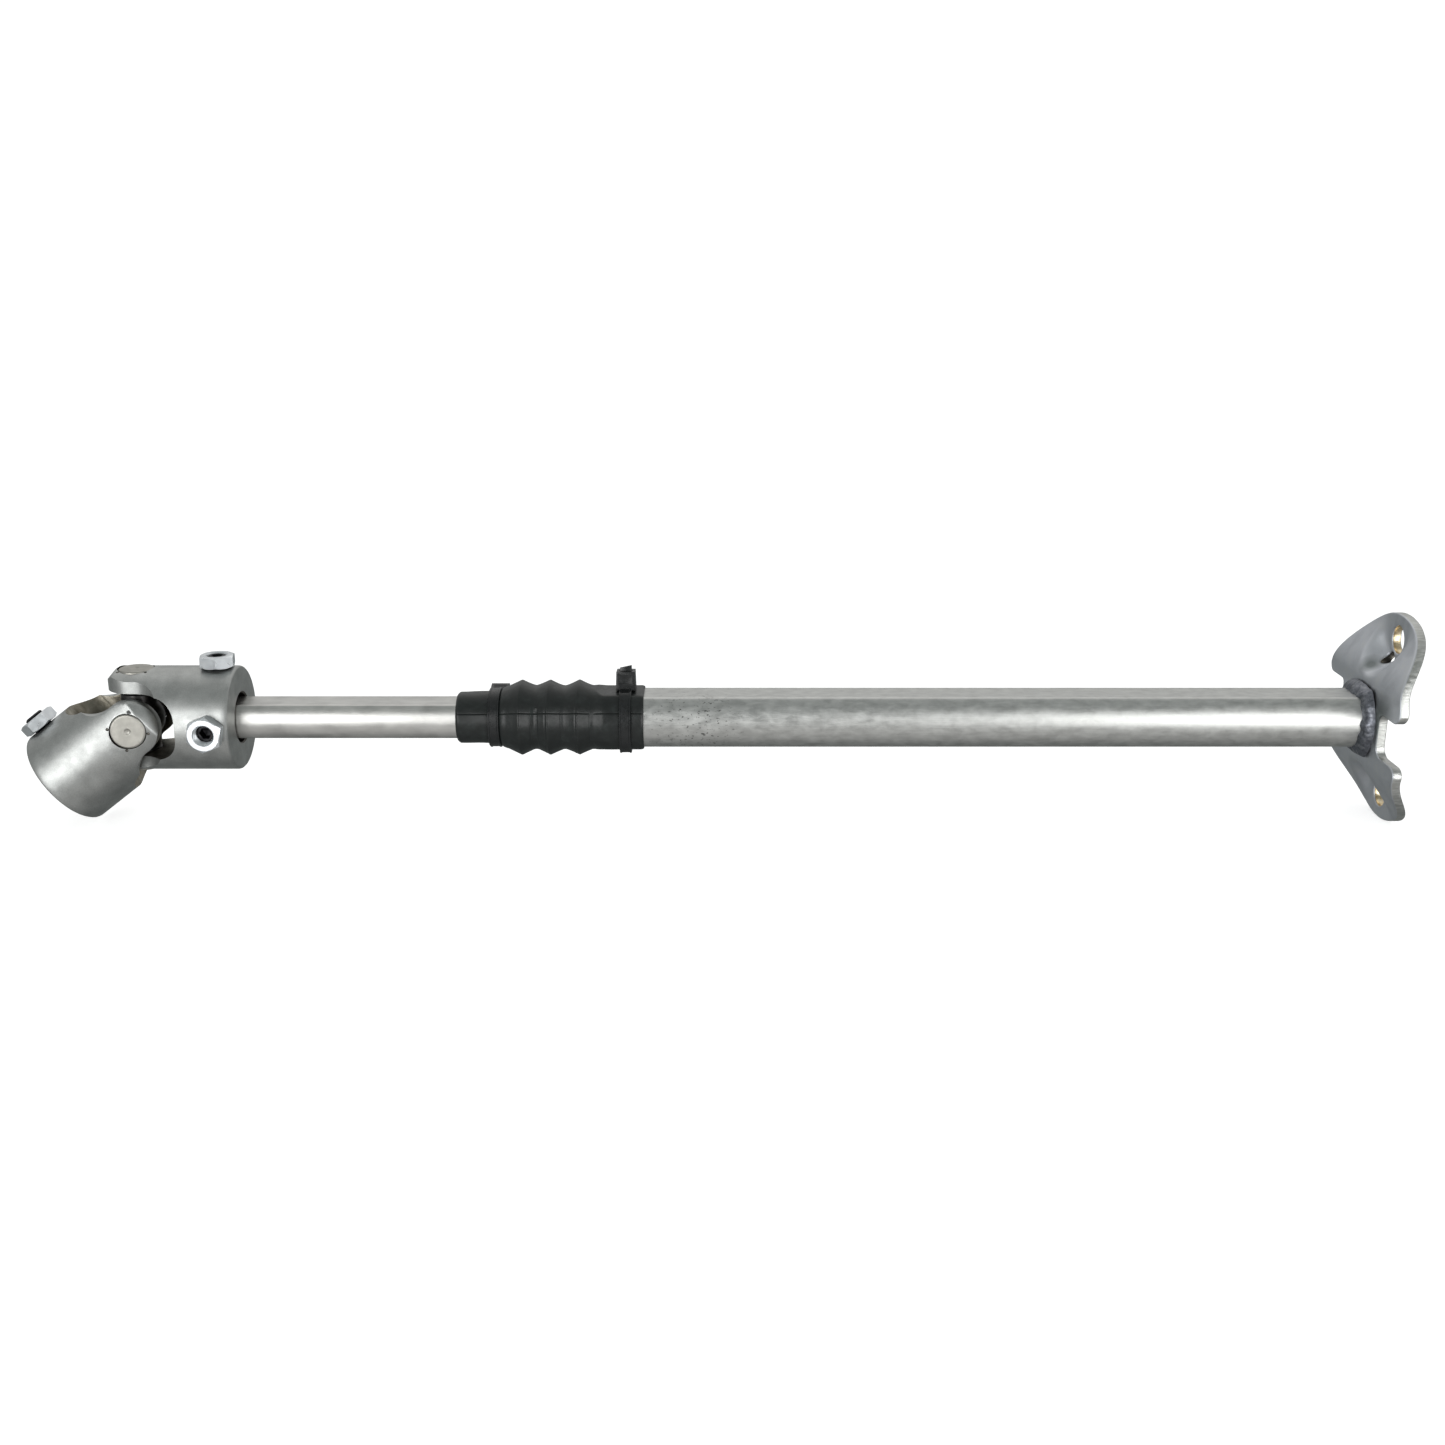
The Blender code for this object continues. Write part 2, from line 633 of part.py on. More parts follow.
def flange_holes():
    holes = []
    for side in (1, -1):
        holes.append(((0.0, side * BOLT_OFFSET), BOLT_HOLE_RADIUS, 20))
        holes.append(((-RELIEF_HOLE_U, side * RELIEF_HOLE_V), RELIEF_HOLE_RADIUS, 10))
    return holes


def in_a_hole(point):
    return any(math.dist(point, centre) < radius for centre, radius, _ in flange_holes())


def inside(point, polygon):
    u, v = point
    found = False
    for (u0, v0), (u1, v1) in zip(polygon, polygon[1:] + polygon[:1]):
        if (v0 > v) != (v1 > v) and u < (u1 - u0) * (v - v0) / (v1 - v0) + u0:
            found = not found
    return found


def flange_plan():
    """Triangles that fill the outline, open at the holes."""
    outline = flange_outline()
    loops = [outline]
    for centre, radius, count in flange_holes():
        loops.append(arc(centre, radius, 0, 360 - 360 / count, count))
    points = []
    edges = []
    for loop in loops:
        first = len(points)
        points += loop
        edges += [(first + i, first + (i + 1) % len(loop)) for i in range(len(loop))]
    border = np.array(points)
    columns = math.ceil(EAR_HALF_WIDTH / GRID)
    rows = math.ceil(EAR_TIP / (0.87 * GRID))
    for i in range(-columns, columns + 1):
        for j in range(-rows, rows + 1):
            point = ((i + 0.5 * (j % 2)) * GRID, j * GRID * 0.87)
            clear = np.hypot(border[:, 0] - point[0], border[:, 1] - point[1]).min() > 0.45 * GRID
            if clear and not in_a_hole(point) and inside(point, outline):
                points.append(point)
    filled = delaunay_2d_cdt([Vector(p) for p in points], edges, [], 1, 1e-7)
    corners = filled[0]
    kept = []
    for triangle in filled[2]:
        middle = sum((corners[i] for i in triangle), Vector((0.0, 0.0))) / 3
        if not in_a_hole(middle):
            kept.append(triangle)
    return corners, kept


def make_flange(mat):
    points, triangles = flange_plan()
    bm = bmesh.new()
    near = []
    far = []
    for u, v in points:
        near_x, far_x = plate_faces(u, v)
        near.append(bm.verts.new((near_x, -u, v)))
        far.append(bm.verts.new((far_x, -u, v)))
    for a, b, c in triangles:
        bm.faces.new((near[a], near[b], near[c]))
        bm.faces.new((far[c], far[b], far[a]))
    sides = set()
    for triangle in triangles:
        sides.update(zip(triangle, triangle[1:] + triangle[:1]))
    for a, b in sorted(sides):
        if (b, a) not in sides:
            bm.faces.new((near[b], near[a], far[a], far[b]))
    add_object("column_flange", bm, mat, sharp=40.0)


def make_weld(mat):
    """Fillet bead in the corner between the tube and the plate."""
    end = -PLATE - GAP
    start = end - WELD_LENGTH
    low = (TUBE_RADIUS + GAP, TUBE_HALF_FLAT + GAP)
    sections = [(end, *low), (start, *low)]
    steps = 4
    for i in range(steps + 1):
        swell = 0.5 * MM + (WELD_LEG - 0.5 * MM) * math.sin(math.pi / 2 * i / steps) ** 0.8
        sections.append((start + WELD_LENGTH * i / steps, low[0] + swell, low[1] + swell))
    rings = [(x, section(radius, flat)) for x, radius, flat in sections]
    add_object("flange_weld", loft(rings), mat)


def main():
    clear_scene()
    steel = (0.44, 0.44, 0.43)
    mats = {
        "yoke": material("blasted_steel", steel, 0.42, 1.0),
        "cross": material("oiled_steel", (0.12, 0.12, 0.12), 0.4, 1.0),
        "cup": material("ground_steel", (0.62, 0.61, 0.58), 0.3, 1.0),
        "needle": material("bearing_steel", (0.7, 0.7, 0.7), 0.15, 1.0),
        "seal": material("seal_rubber", (0.02, 0.02, 0.02), 0.6, 0.0),
        "screw": material("black_oxide", (0.03, 0.03, 0.035), 0.45, 1.0),
        "nut": material("zinc_plate", (0.75, 0.78, 0.8), 0.25, 1.0),
        "bar": material("drawn_steel", (0.6, 0.59, 0.57), 0.3, 1.0),
        "tube": material("drawn_tube_steel", (0.52, 0.52, 0.51), 0.35, 1.0),
    }
    make_joint(mats)
    make_bar_and_tube(mats)
    make_boot(material("boot_rubber", (0.03, 0.03, 0.035), 0.5, 0.0))
    make_ties(material("black_nylon", (0.015, 0.015, 0.015), 0.4, 0.0))
    make_flange(material("pressed_steel", (0.33, 0.35, 0.39), 0.45, 1.0))
    make_weld(material("weld_metal", (0.2, 0.2, 0.21), 0.45, 1.0))
    bpy.context.view_layer.update()


main()
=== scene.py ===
"""Looks of the telescoping universal joint shaft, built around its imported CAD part.

Metres, +Z up. The shaft lies along X; the joint is at the -X end and the flange at the +X end.
"""

import math

import bmesh
import bpy
import numpy as np
from mathutils import Matrix, Vector
from mathutils.geometry import delaunay_2d_cdt


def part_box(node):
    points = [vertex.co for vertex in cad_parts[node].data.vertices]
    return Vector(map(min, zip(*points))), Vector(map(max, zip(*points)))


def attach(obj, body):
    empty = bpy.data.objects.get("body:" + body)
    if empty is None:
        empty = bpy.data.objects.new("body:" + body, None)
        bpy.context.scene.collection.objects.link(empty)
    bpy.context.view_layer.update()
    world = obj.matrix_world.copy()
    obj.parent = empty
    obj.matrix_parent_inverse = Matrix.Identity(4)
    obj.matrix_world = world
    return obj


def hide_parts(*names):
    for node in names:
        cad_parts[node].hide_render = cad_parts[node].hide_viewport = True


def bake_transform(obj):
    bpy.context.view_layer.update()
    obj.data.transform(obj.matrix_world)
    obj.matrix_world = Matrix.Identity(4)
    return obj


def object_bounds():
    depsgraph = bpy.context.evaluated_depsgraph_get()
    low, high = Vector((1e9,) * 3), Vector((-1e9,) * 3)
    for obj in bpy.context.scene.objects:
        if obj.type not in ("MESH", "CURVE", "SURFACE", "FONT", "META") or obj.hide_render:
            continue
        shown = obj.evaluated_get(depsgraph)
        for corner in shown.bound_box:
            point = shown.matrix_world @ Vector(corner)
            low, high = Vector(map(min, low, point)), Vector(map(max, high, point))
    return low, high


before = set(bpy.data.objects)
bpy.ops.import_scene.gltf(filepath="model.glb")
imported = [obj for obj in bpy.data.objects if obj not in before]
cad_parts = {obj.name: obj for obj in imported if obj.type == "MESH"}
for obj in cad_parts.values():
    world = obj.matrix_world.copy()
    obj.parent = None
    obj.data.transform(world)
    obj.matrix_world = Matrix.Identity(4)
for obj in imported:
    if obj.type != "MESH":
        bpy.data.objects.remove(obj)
cad_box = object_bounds()

MM = 0.001
TAU = math.tau
GAP = 0.3 * MM

BAR_RADIUS = 9.525 * MM
BAR_HALF_FLAT = 6.86 * MM
TUBE_RADIUS = 12.7 * MM
TUBE_HALF_FLAT = 10.16 * MM

JOINT_X = -488.7 * MM
YOKE_RADIUS = 20.64 * MM
YOKE_LENGTH = 40.3 * MM
FORK_DEPTH = 19.6 * MM
FORK_HALF_GAP = 12.6 * MM
FORK_CORNER = 9.5 * MM
EAR_RADIUS = 11.0 * MM
EAR_FLARE_START = 1.6 * MM
EAR_FLARE_RADIUS = 12.0 * MM
BEARING_HOLE_RADIUS = 7.15 * MM
CUP_RADIUS = 6.9 * MM
CUP_FACE = 20.3 * MM
CUP_MOUTH = 12.9 * MM
CROSS_YAW = math.radians(4.25)
BOX_DROOP = math.radians(37.25)
SCREW_X = YOKE_LENGTH - 8.0 * MM
SCREW_RADIUS = 3.95 * MM
THREAD_PITCH = 1.058 * MM
THREAD_DEPTH = 0.5 * MM
NUT_ACROSS = 12.7 * MM
NUT_HEIGHT = 4.76 * MM
NUT_SEAT = YOKE_RADIUS + GAP

PLATE = 3.7 * MM
PRESS_DEPTH = 12.0 * MM
EAR_HALF_WIDTH = 36.3 * MM
EAR_TIP = 41.8 * MM
PAD_CENTRE = 32.0 * MM

AT_JOINT = Matrix.Translation((JOINT_X, 0, 0))
CROSS_FRAME = AT_JOINT @ Matrix.Rotation(CROSS_YAW, 4, "Z")
TURNED_OVER = Matrix(((-1, 0, 0), (0, 0, -1), (0, -1, 0))).to_4x4()
BOX_FRAME = CROSS_FRAME @ Matrix.Rotation(-BOX_DROOP, 4, "Y") @ TURNED_OVER


# Materials


class Shader:
    """A Principled material whose patterns come from noise in the object's own space."""

    def __init__(self, name, colour, roughness, metallic=1.0, **constants):
        self.mat = bpy.data.materials.new(name)
        self.mat.use_nodes = True
        self.nodes = self.mat.node_tree.nodes
        self.links = self.mat.node_tree.links
        self.shader = self.nodes["Principled BSDF"]
        self.shader.inputs["Base Color"].default_value = (*colour, 1.0)
        self.shader.inputs["Roughness"].default_value = roughness
        self.shader.inputs["Metallic"].default_value = metallic
        for key, value in constants.items():
            self.shader.inputs[key.replace("_", " ")].default_value = value
        self.coords = self.nodes.new("ShaderNodeTexCoord").outputs["Object"]
        self.last_bump = None

    def stretched(self, stretch):
        mapping = self.nodes.new("ShaderNodeMapping")
        mapping.inputs["Scale"].default_value = stretch
        self.links.new(self.coords, mapping.inputs["Vector"])
        return mapping.outputs["Vector"]

    def noise(self, feature, detail=3.0, stretch=(1, 1, 1), distortion=0.0, rough=0.55):
        """Noise whose blobs are about `feature` metres across."""
        node = self.nodes.new("ShaderNodeTexNoise")
        node.inputs["Scale"].default_value = 1.0 / feature
        node.inputs["Detail"].default_value = detail
        node.inputs["Roughness"].default_value = rough
        node.inputs["Distortion"].default_value = distortion
        self.links.new(self.stretched(stretch), node.inputs["Vector"])
        return node.outputs["Fac"]

    def cells(self, feature, stretch=(1, 1, 1)):
        node = self.nodes.new("ShaderNodeTexVoronoi")
        node.inputs["Scale"].default_value = 1.0 / feature
        self.links.new(self.stretched(stretch), node.inputs["Vector"])
        return node.outputs["Distance"]

    def ramp(self, fac, stops):
        node = self.nodes.new("ShaderNodeValToRGB")
        ramp = node.color_ramp
        ramp.elements[0].position, ramp.elements[0].color = stops[0][0], (*stops[0][1], 1)
        ramp.elements[1].position, ramp.elements[1].color = stops[-1][0], (*stops[-1][1], 1)
        for position, colour in stops[1:-1]:
            ramp.elements.new(position).color = (*colour, 1)
        self.links.new(fac, node.inputs["Fac"])
        return node.outputs["Color"]

    def remap(self, fac, low, high, start=0.3, end=0.7):
        node = self.nodes.new("ShaderNodeMapRange")
        for key, value in (("From Min", start), ("From Max", end), ("To Min", low), ("To Max", high)):
            node.inputs[key].default_value = value
        self.links.new(fac, node.inputs["Value"])
        return node.outputs["Result"]

    def mixed(self, fac, a, b, mode="MIX"):
        node = self.nodes.new("ShaderNodeMix")
        node.data_type = "RGBA"
        node.blend_type = mode
        if isinstance(fac, float):
            node.inputs["Factor"].default_value = fac
        else:
            self.links.new(fac, node.inputs["Factor"])
        for socket, value in ((node.inputs[6], a), (node.inputs[7], b)):
            if isinstance(value, tuple):
                socket.default_value = (*value, 1.0)
            else:
                self.links.new(value, socket)
        return node.outputs[2]

    def multiply(self, a, b):
        node = self.nodes.new("ShaderNodeMath")
        node.operation = "MULTIPLY"
        self.links.new(a, node.inputs[0])
        self.links.new(b, node.inputs[1])
        return node.outputs[0]

    def patch(self, centre, radius):
        """1 at a point of the object, falling to 0 at a distance of `radius`."""
        mapping = self.nodes.new("ShaderNodeMapping")
        mapping.inputs["Location"].default_value = tuple(-c / radius for c in centre)
        mapping.inputs["Scale"].default_value = (1 / radius,) * 3
        self.links.new(self.coords, mapping.inputs["Vector"])
        node = self.nodes.new("ShaderNodeTexGradient")
        node.gradient_type = "SPHERICAL"
        self.links.new(mapping.outputs["Vector"], node.inputs["Vector"])
        return node.outputs["Fac"]

    def colour(self, socket):
        self.links.new(socket, self.shader.inputs["Base Color"])
        return self

    def roughness(self, socket):
        self.links.new(socket, self.shader.inputs["Roughness"])
        return self

    def bump(self, fac, height, strength=1.0):
        node = self.nodes.new("ShaderNodeBump")
        node.inputs["Strength"].default_value = strength
        node.inputs["Distance"].default_value = height
        self.links.new(fac, node.inputs["Height"])
        if self.last_bump:
            self.links.new(self.last_bump, node.inputs["Normal"])
        self.last_bump = node.outputs["Normal"]
        self.links.new(self.last_bump, self.shader.inputs["Normal"])
        return self


def scaled(colour, factor):
    return tuple(c * factor for c in colour)


def blasted_steel():
    base = (0.43, 0.44, 0.43)
    s = Shader("blasted_steel", base, 0.4)
    tone = s.ramp(s.noise(7 * MM, 4), [(0.3, scaled(base, 0.82)), (0.7, scaled(base, 1.1))])
    grain = s.noise(0.35 * MM, 2)
    s.colour(s.mixed(0.35, tone, s.ramp(grain, [(0.3, (0.3,) * 3), (0.7, (0.62,) * 3)]), "OVERLAY"))
    s.roughness(s.remap(s.noise(3 * MM, 4), 0.37, 0.46))
    s.bump(grain, 0.02 * MM).bump(s.noise(2.2 * MM, 3), 0.008 * MM)
    return s.mat


def milled_steel():
    base = (0.27, 0.25, 0.205)
    s = Shader("milled_steel", base, 0.4)
    patch = s.noise(5 * MM, 4, distortion=0.6)
    s.colour(s.ramp(patch, [(0.3, (0.15, 0.138, 0.108)), (0.55, base), (0.75, (0.38, 0.36, 0.31))]))
    s.roughness(s.remap(s.noise(1.2 * MM), 0.28, 0.48))
    s.bump(s.noise(0.5 * MM, 2, stretch=(1, 0.12, 1)), 0.03 * MM)
    return s.mat


def dark_bore():
    # Dark steel for bores, screw holes and punch marks. On the flange's small relief holes this darkness is
    # painted shade.
    s = Shader("dark_bore_and_painted_shade", (0.1, 0.095, 0.085), 0.4)
    s.colour(s.ramp(s.noise(3 * MM), [(0.3, (0.06, 0.055, 0.05)), (0.7, (0.17, 0.16, 0.14))]))
    s.bump(s.noise(0.5 * MM, 2, stretch=(0.2, 1, 1)), 0.03 * MM)
    return s.mat


def ground_cup():
    base = (0.42, 0.41, 0.375)
    s = Shader("ground_cup_steel", base, 0.45)
    tone = s.noise(3.5 * MM, 4)
    s.colour(s.ramp(tone, [(0.3, scaled(base, 0.84)), (0.55, base), (0.75, scaled(base, 1.14))]))
    s.roughness(s.remap(s.noise(1.5 * MM), 0.42, 0.54))
    s.bump(s.noise(0.3 * MM, 2), 0.012 * MM)
    return s.mat


def oiled_forging():
    s = Shader("oiled_forging", (0.05, 0.05, 0.05), 0.4)
    s.colour(s.ramp(s.noise(2.5 * MM), [(0.3, (0.02, 0.02, 0.022)), (0.7, (0.075, 0.072, 0.07))]))
    s.roughness(s.remap(s.noise(2 * MM), 0.3, 0.5))
    s.bump(s.noise(0.8 * MM), 0.05 * MM)
    return s.mat


def black_oxide():
    s = Shader("black_oxide_steel", (0.03, 0.03, 0.033), 0.4)
    s.colour(s.ramp(s.noise(1.5 * MM), [(0.3, (0.018, 0.018, 0.02)), (0.7, (0.05, 0.05, 0.053))]))
    s.roughness(s.remap(s.noise(0.9 * MM), 0.3, 0.5))
    s.bump(s.noise(0.25 * MM), 0.01 * MM)
    return s.mat


def zinc_plate():
    base = (0.78, 0.81, 0.84)
    s = Shader("zinc_plated_steel", base, 0.27)
    s.colour(s.ramp(s.noise(4 * MM, 2), [(0.3, scaled(base, 0.9)), (0.7, (0.82, 0.85, 0.87))]))
    s.roughness(s.remap(s.noise(3 * MM, 2), 0.26, 0.36))
    s.bump(s.noise(0.9 * MM, 2), 0.002 * MM)
    return s.mat


def drawn_steel(name, base, blotch, roughness, relief, scuff_x=None):
    """Cold drawn steel: fine lines along X under a mottled skin, pitted round `scuff_x`."""
    s = Shader(name, base, sum(roughness) / 2)
    lines = s.noise(0.35 * MM, 2, stretch=(0.02, 1, 1))
    mottle = s.noise(blotch, 5, stretch=(0.55, 1, 1), distortion=0.3)
    tone = s.ramp(mottle, [(0.3, scaled(base, 0.86)), (0.5, base), (0.7, scaled(base, 1.12))])
    tone = s.mixed(0.25, tone, s.ramp(lines, [(0.3, (0.36,) * 3), (0.7, (0.6,) * 3)]), "OVERLAY")
    if scuff_x is not None:
        near = s.remap(s.patch((scuff_x, -TUBE_RADIUS, 0), 26 * MM), 0.0, 1.0, 0.1, 0.7)
        pits = s.remap(s.noise(0.9 * MM, 4, stretch=(0.6, 1, 1)), 0.0, 1.0, 0.6, 0.68)
        tone = s.mixed(s.multiply(near, pits), tone, (0.09, 0.09, 0.085))
    s.colour(tone)
    s.roughness(s.remap(mottle, *roughness))
    s.bump(mottle, relief).bump(lines, 0.006 * MM).bump(s.noise(0.6 * MM, 3), 0.35 * relief)
    return s.mat


def pressed_plate():
    base = (0.57, 0.59, 0.625)
    s = Shader("pressed_plate_steel", base, 0.46)
    tone = s.noise(9 * MM, 5, distortion=0.4)
    plate_colour = s.ramp(tone, [(0.3, scaled(base, 0.86)), (0.5, base), (0.72, (0.6, 0.615, 0.63))])
    # Painted shade: a dark blue-grey mixed into the plate colour in two soft round patches, one in the pocket
    # round the upper ear's relief hole and one by the notch beside the weld.
    painted_shade = (0.14, 0.16, 0.155)
    pocket_shade = s.patch((1 * MM, 5 * MM, 20.5 * MM), 7 * MM)
    plate_colour = s.mixed(s.remap(pocket_shade, 0.0, 0.85, 0.2, 0.8), plate_colour, painted_shade)
    # Second painted shade patch, darkening the plate round the notch corner beside the weld.
    corner = s.patch((-3 * MM, -20 * MM, 4 * MM), 14 * MM)
    plate_colour = s.mixed(s.remap(corner, 0.0, 0.88, 0.1, 0.7), plate_colour, painted_shade)
    s.colour(plate_colour)
    s.roughness(s.remap(s.noise(4 * MM, 4), 0.42, 0.52))
    s.bump(s.noise(3 * MM, 4), 0.03 * MM).bump(s.noise(0.5 * MM, 2), 0.008 * MM)
    return s.mat


def sheared_edge():
    base = (0.5, 0.51, 0.49)
    s = Shader("sheared_edge_steel", base, 0.42)
    tears = s.noise(0.9 * MM, 4, stretch=(0.3, 1, 1))
    s.colour(s.ramp(tears, [(0.3, (0.44, 0.44, 0.42)), (0.5, base), (0.7, (0.66, 0.66, 0.64))]))
    s.roughness(s.remap(tears, 0.28, 0.5))
    s.bump(tears, 0.12 * MM)
    return s.mat


def gilt_hole():
    base = (0.72, 0.6, 0.4)
    s = Shader("punched_hole_steel", base, 0.3)
    tone = s.noise(2.5 * MM, 4)
    s.colour(s.ramp(tone, [(0.3, (0.42, 0.33, 0.19)), (0.55, base), (0.7, (0.86, 0.78, 0.6))]))
    s.bump(s.noise(0.9 * MM, 3, stretch=(0.25, 1, 1)), 0.08 * MM)
    return s.mat


def weld_metal():
    s = Shader("weld_bead", (0.2, 0.21, 0.23), 0.36)
    tone = s.noise(1.8 * MM, 4, distortion=0.8)
    stops = [(0.3, (0.1, 0.107, 0.125)), (0.55, (0.19, 0.2, 0.225)), (0.75, (0.33, 0.34, 0.36))]
    s.colour(s.ramp(tone, stops))
    s.roughness(s.remap(s.noise(1.1 * MM), 0.32, 0.52))
    s.bump(s.noise(1.3 * MM, 4), 0.07 * MM)
    return s.mat


def moulded_rubber(name="moulded_rubber", shade=1.0):
    base = scaled((0.009, 0.0115, 0.011), shade)
    s = Shader(name, base, 0.36, metallic=0.0, Specular_IOR_Level=0.42)
    dust = s.noise(3 * MM, 5, stretch=(0.7, 1, 1), distortion=0.5)
    s.colour(s.ramp(dust, [(0.35, scaled(base, 0.7)), (0.55, base), (0.75, scaled(base, 1.9))]))
    s.roughness(s.remap(s.noise(2 * MM, 4), 0.3, 0.42))
    s.bump(s.noise(1.1 * MM, 4), 0.02 * MM).bump(s.noise(0.3 * MM, 2), 0.005 * MM)
    return s.mat


def black_nylon():
    base = (0.006, 0.007, 0.0075)
    s = Shader("black_nylon", base, 0.3, metallic=0.0, Specular_IOR_Level=0.5)
    s.colour(s.ramp(s.noise(2 * MM), [(0.3, scaled(base, 0.7)), (0.7, scaled(base, 1.5))]))
    s.roughness(s.remap(s.noise(1.4 * MM, 3), 0.22, 0.4))
    s.bump(s.noise(0.7 * MM, 2), 0.015 * MM)
    return s.mat


def bearing_steel():
    s = Shader("bearing_steel", (0.7, 0.7, 0.7), 0.18)
    s.colour(s.ramp(s.noise(1 * MM), [(0.3, (0.62, 0.62, 0.61)), (0.7, (0.76, 0.76, 0.76))]))
    s.roughness(s.remap(s.noise(0.6 * MM), 0.12, 0.26))
    return s.mat


MATS = {
    "yoke": blasted_steel(),
    "milled": milled_steel(),
    "bore": dark_bore(),
    "cup": ground_cup(),
    "forging": oiled_forging(),
    "oxide": black_oxide(),
    "zinc": zinc_plate(),
    "bar": drawn_steel("drawn_bar_steel", (0.6, 0.595, 0.575), 5 * MM, (0.3, 0.4), 0.008 * MM),
    "tube": drawn_steel(
        "drawn_tube_steel", (0.54, 0.545, 0.53), 2.6 * MM, (0.32, 0.44), 0.012 * MM, -268 * MM
    ),
    "plate": pressed_plate(),
    "edge": sheared_edge(),
    "gilt": gilt_hole(),
    "weld": weld_metal(),
    "rubber": moulded_rubber(),
    "seal": moulded_rubber("seal_rubber", 0.7),
    "nylon": black_nylon(),
    "needle": bearing_steel(),
}


# Mesh helpers


def finish_mesh(name, bm, mats, sharp=32.0, matrix=None):
    """A smooth-shaded object, sharp where its faces meet at more than `sharp` degrees."""
    bmesh.ops.recalc_face_normals(bm, faces=bm.faces)
    mesh = bpy.data.meshes.new(name)
    bm.to_mesh(mesh)
    bm.free()
    for mat in mats:
        mesh.materials.append(mat)
    if matrix:
        mesh.transform(matrix)
    mesh.shade_smooth()
    mesh.set_sharp_from_angle(angle=math.radians(sharp))
    obj = bpy.data.objects.new(name, mesh)
    bpy.context.scene.collection.objects.link(obj)
    return obj


def apply_modifiers(obj, matrix=None, sharp=32.0):
    """Bakes an object's modifiers into its mesh, and then moves the mesh to its place."""
    depsgraph = bpy.context.evaluated_depsgraph_get()
    mesh = bpy.data.meshes.new_from_object(obj.evaluated_get(depsgraph))
    obj.modifiers.clear()
    obj.data = mesh
    if matrix:
        mesh.transform(matrix)
    mesh.shade_smooth()
    mesh.set_sharp_from_angle(angle=math.radians(sharp))


def boolean(obj, cutter, operation="DIFFERENCE"):
    modifier = obj.modifiers.new(cutter.name, "BOOLEAN")
    modifier.operation = operation
    modifier.solver = "EXACT"
    modifier.material_mode = "TRANSFER"
    modifier.object = cutter


def bevel(obj, width, segments=2, angle=35.0):
    modifier = obj.modifiers.new("edges", "BEVEL")
    modifier.width = width
    modifier.segments = segments
    modifier.limit_method = "ANGLE"
    modifier.angle_limit = math.radians(angle)
    modifier.use_clamp_overlap = True


def discard(objects):
    for obj in objects:
        mesh = obj.data
        bpy.data.objects.remove(obj, do_unlink=True)
        bpy.data.meshes.remove(mesh)


def arc(centre, radius, start, end, count):
    angles = np.radians(np.linspace(start, end, count))
    return [(centre[0] + radius * math.cos(a), centre[1] + radius * math.sin(a)) for a in angles]


def turned(profile, segments, closed=True):
    """Spins an (x, radius) profile about the X axis."""
    bm = bmesh.new()
    verts = [bm.verts.new((x, r, 0.0)) for x, r in profile]
    ends = verts[1:] + verts[:1] if closed else verts[1:]
    edges = [bm.edges.new(pair) for pair in zip(verts, ends)]
    bmesh.ops.spin(
        bm,
        geom=verts + edges,
        cent=(0, 0, 0),
        axis=(1, 0, 0),
        angle=TAU,
        steps=segments,
        use_merge=True,
    )
    bmesh.ops.remove_doubles(bm, verts=bm.verts, dist=1e-7)
    bmesh.ops.dissolve_degenerate(bm, edges=bm.edges, dist=1e-7)
    bmesh.ops.delete(bm, geom=[e for e in bm.edges if not e.link_faces], context="EDGES")
    return bm


def prism(outline, start, end):
    bm = bmesh.new()
    face = bm.faces.new([bm.verts.new((x, y, start)) for x, y in outline])
    raised = bmesh.ops.extrude_face_region(bm, geom=[face])["geom"]
    moved = [v for v in raised if isinstance(v, bmesh.types.BMVert)]
    bmesh.ops.translate(bm, verts=moved, vec=(0, 0, end - start))
    return bm


def rotated(bm, angle, axis):
    bmesh.ops.rotate(bm, verts=bm.verts, cent=(0, 0, 0), matrix=Matrix.Rotation(angle, 3, axis))
    return bm


def shifted(bm, vector):
    bmesh.ops.translate(bm, verts=bm.verts, vec=vector)
    return bm


def x_to(bm, axis, sign=1):
    """Turns a shape made along +X so that it runs along Z or Y; sign -1 points it the other way."""
    if axis == "Z":
        return rotated(bm, -sign * math.pi / 2, "Y")
    return rotated(bm, sign * math.pi / 2, "Z")


def skin(rings, closed=False, slots=None):
    """Joins rings, an (n, m, 3) array, into one skin; slots gives each band's material."""
    rings = np.asarray(rings, float)
    n, m, _ = rings.shape
    bm = bmesh.new()
    verts = [bm.verts.new(p) for p in rings.reshape(-1, 3)]
    for i in range(n if closed else n - 1):
        a = i * m
        b = ((i + 1) % n) * m
        for j in range(m):
            k = (j + 1) % m
            face = bm.faces.new((verts[a + j], verts[a + k], verts[b + k], verts[b + j]))
            if slots:
                face.material_index = slots[i]
    if not closed:
        bm.faces.new(verts[:m])
        bm.faces.new(verts[(n - 1) * m :])
    return bm


def ring(x, radius, angles):
    """A ring about X, where radius is one number or one for each angle."""
    radius = np.broadcast_to(radius, angles.shape)
    xs = np.broadcast_to(x, angles.shape)
    return np.stack([xs, radius * np.cos(angles), radius * np.sin(angles)], axis=1)


def hexagon(across, angles, turn=0.0):
    """Radius of a hexagon at each angle, with a corner at angle `turn`."""
    return across / 2 / np.cos((angles - turn) % (TAU / 6) - TAU / 12)


def thread(x, angles, crest):
    """Radius of a screw thread at x: a helical vee with a flat on its crest."""
    phase = (x / THREAD_PITCH - angles / TAU) % 1.0
    return crest - THREAD_DEPTH * np.clip(np.abs(phase - 0.5) * 2.4 - 0.2, 0, 1)


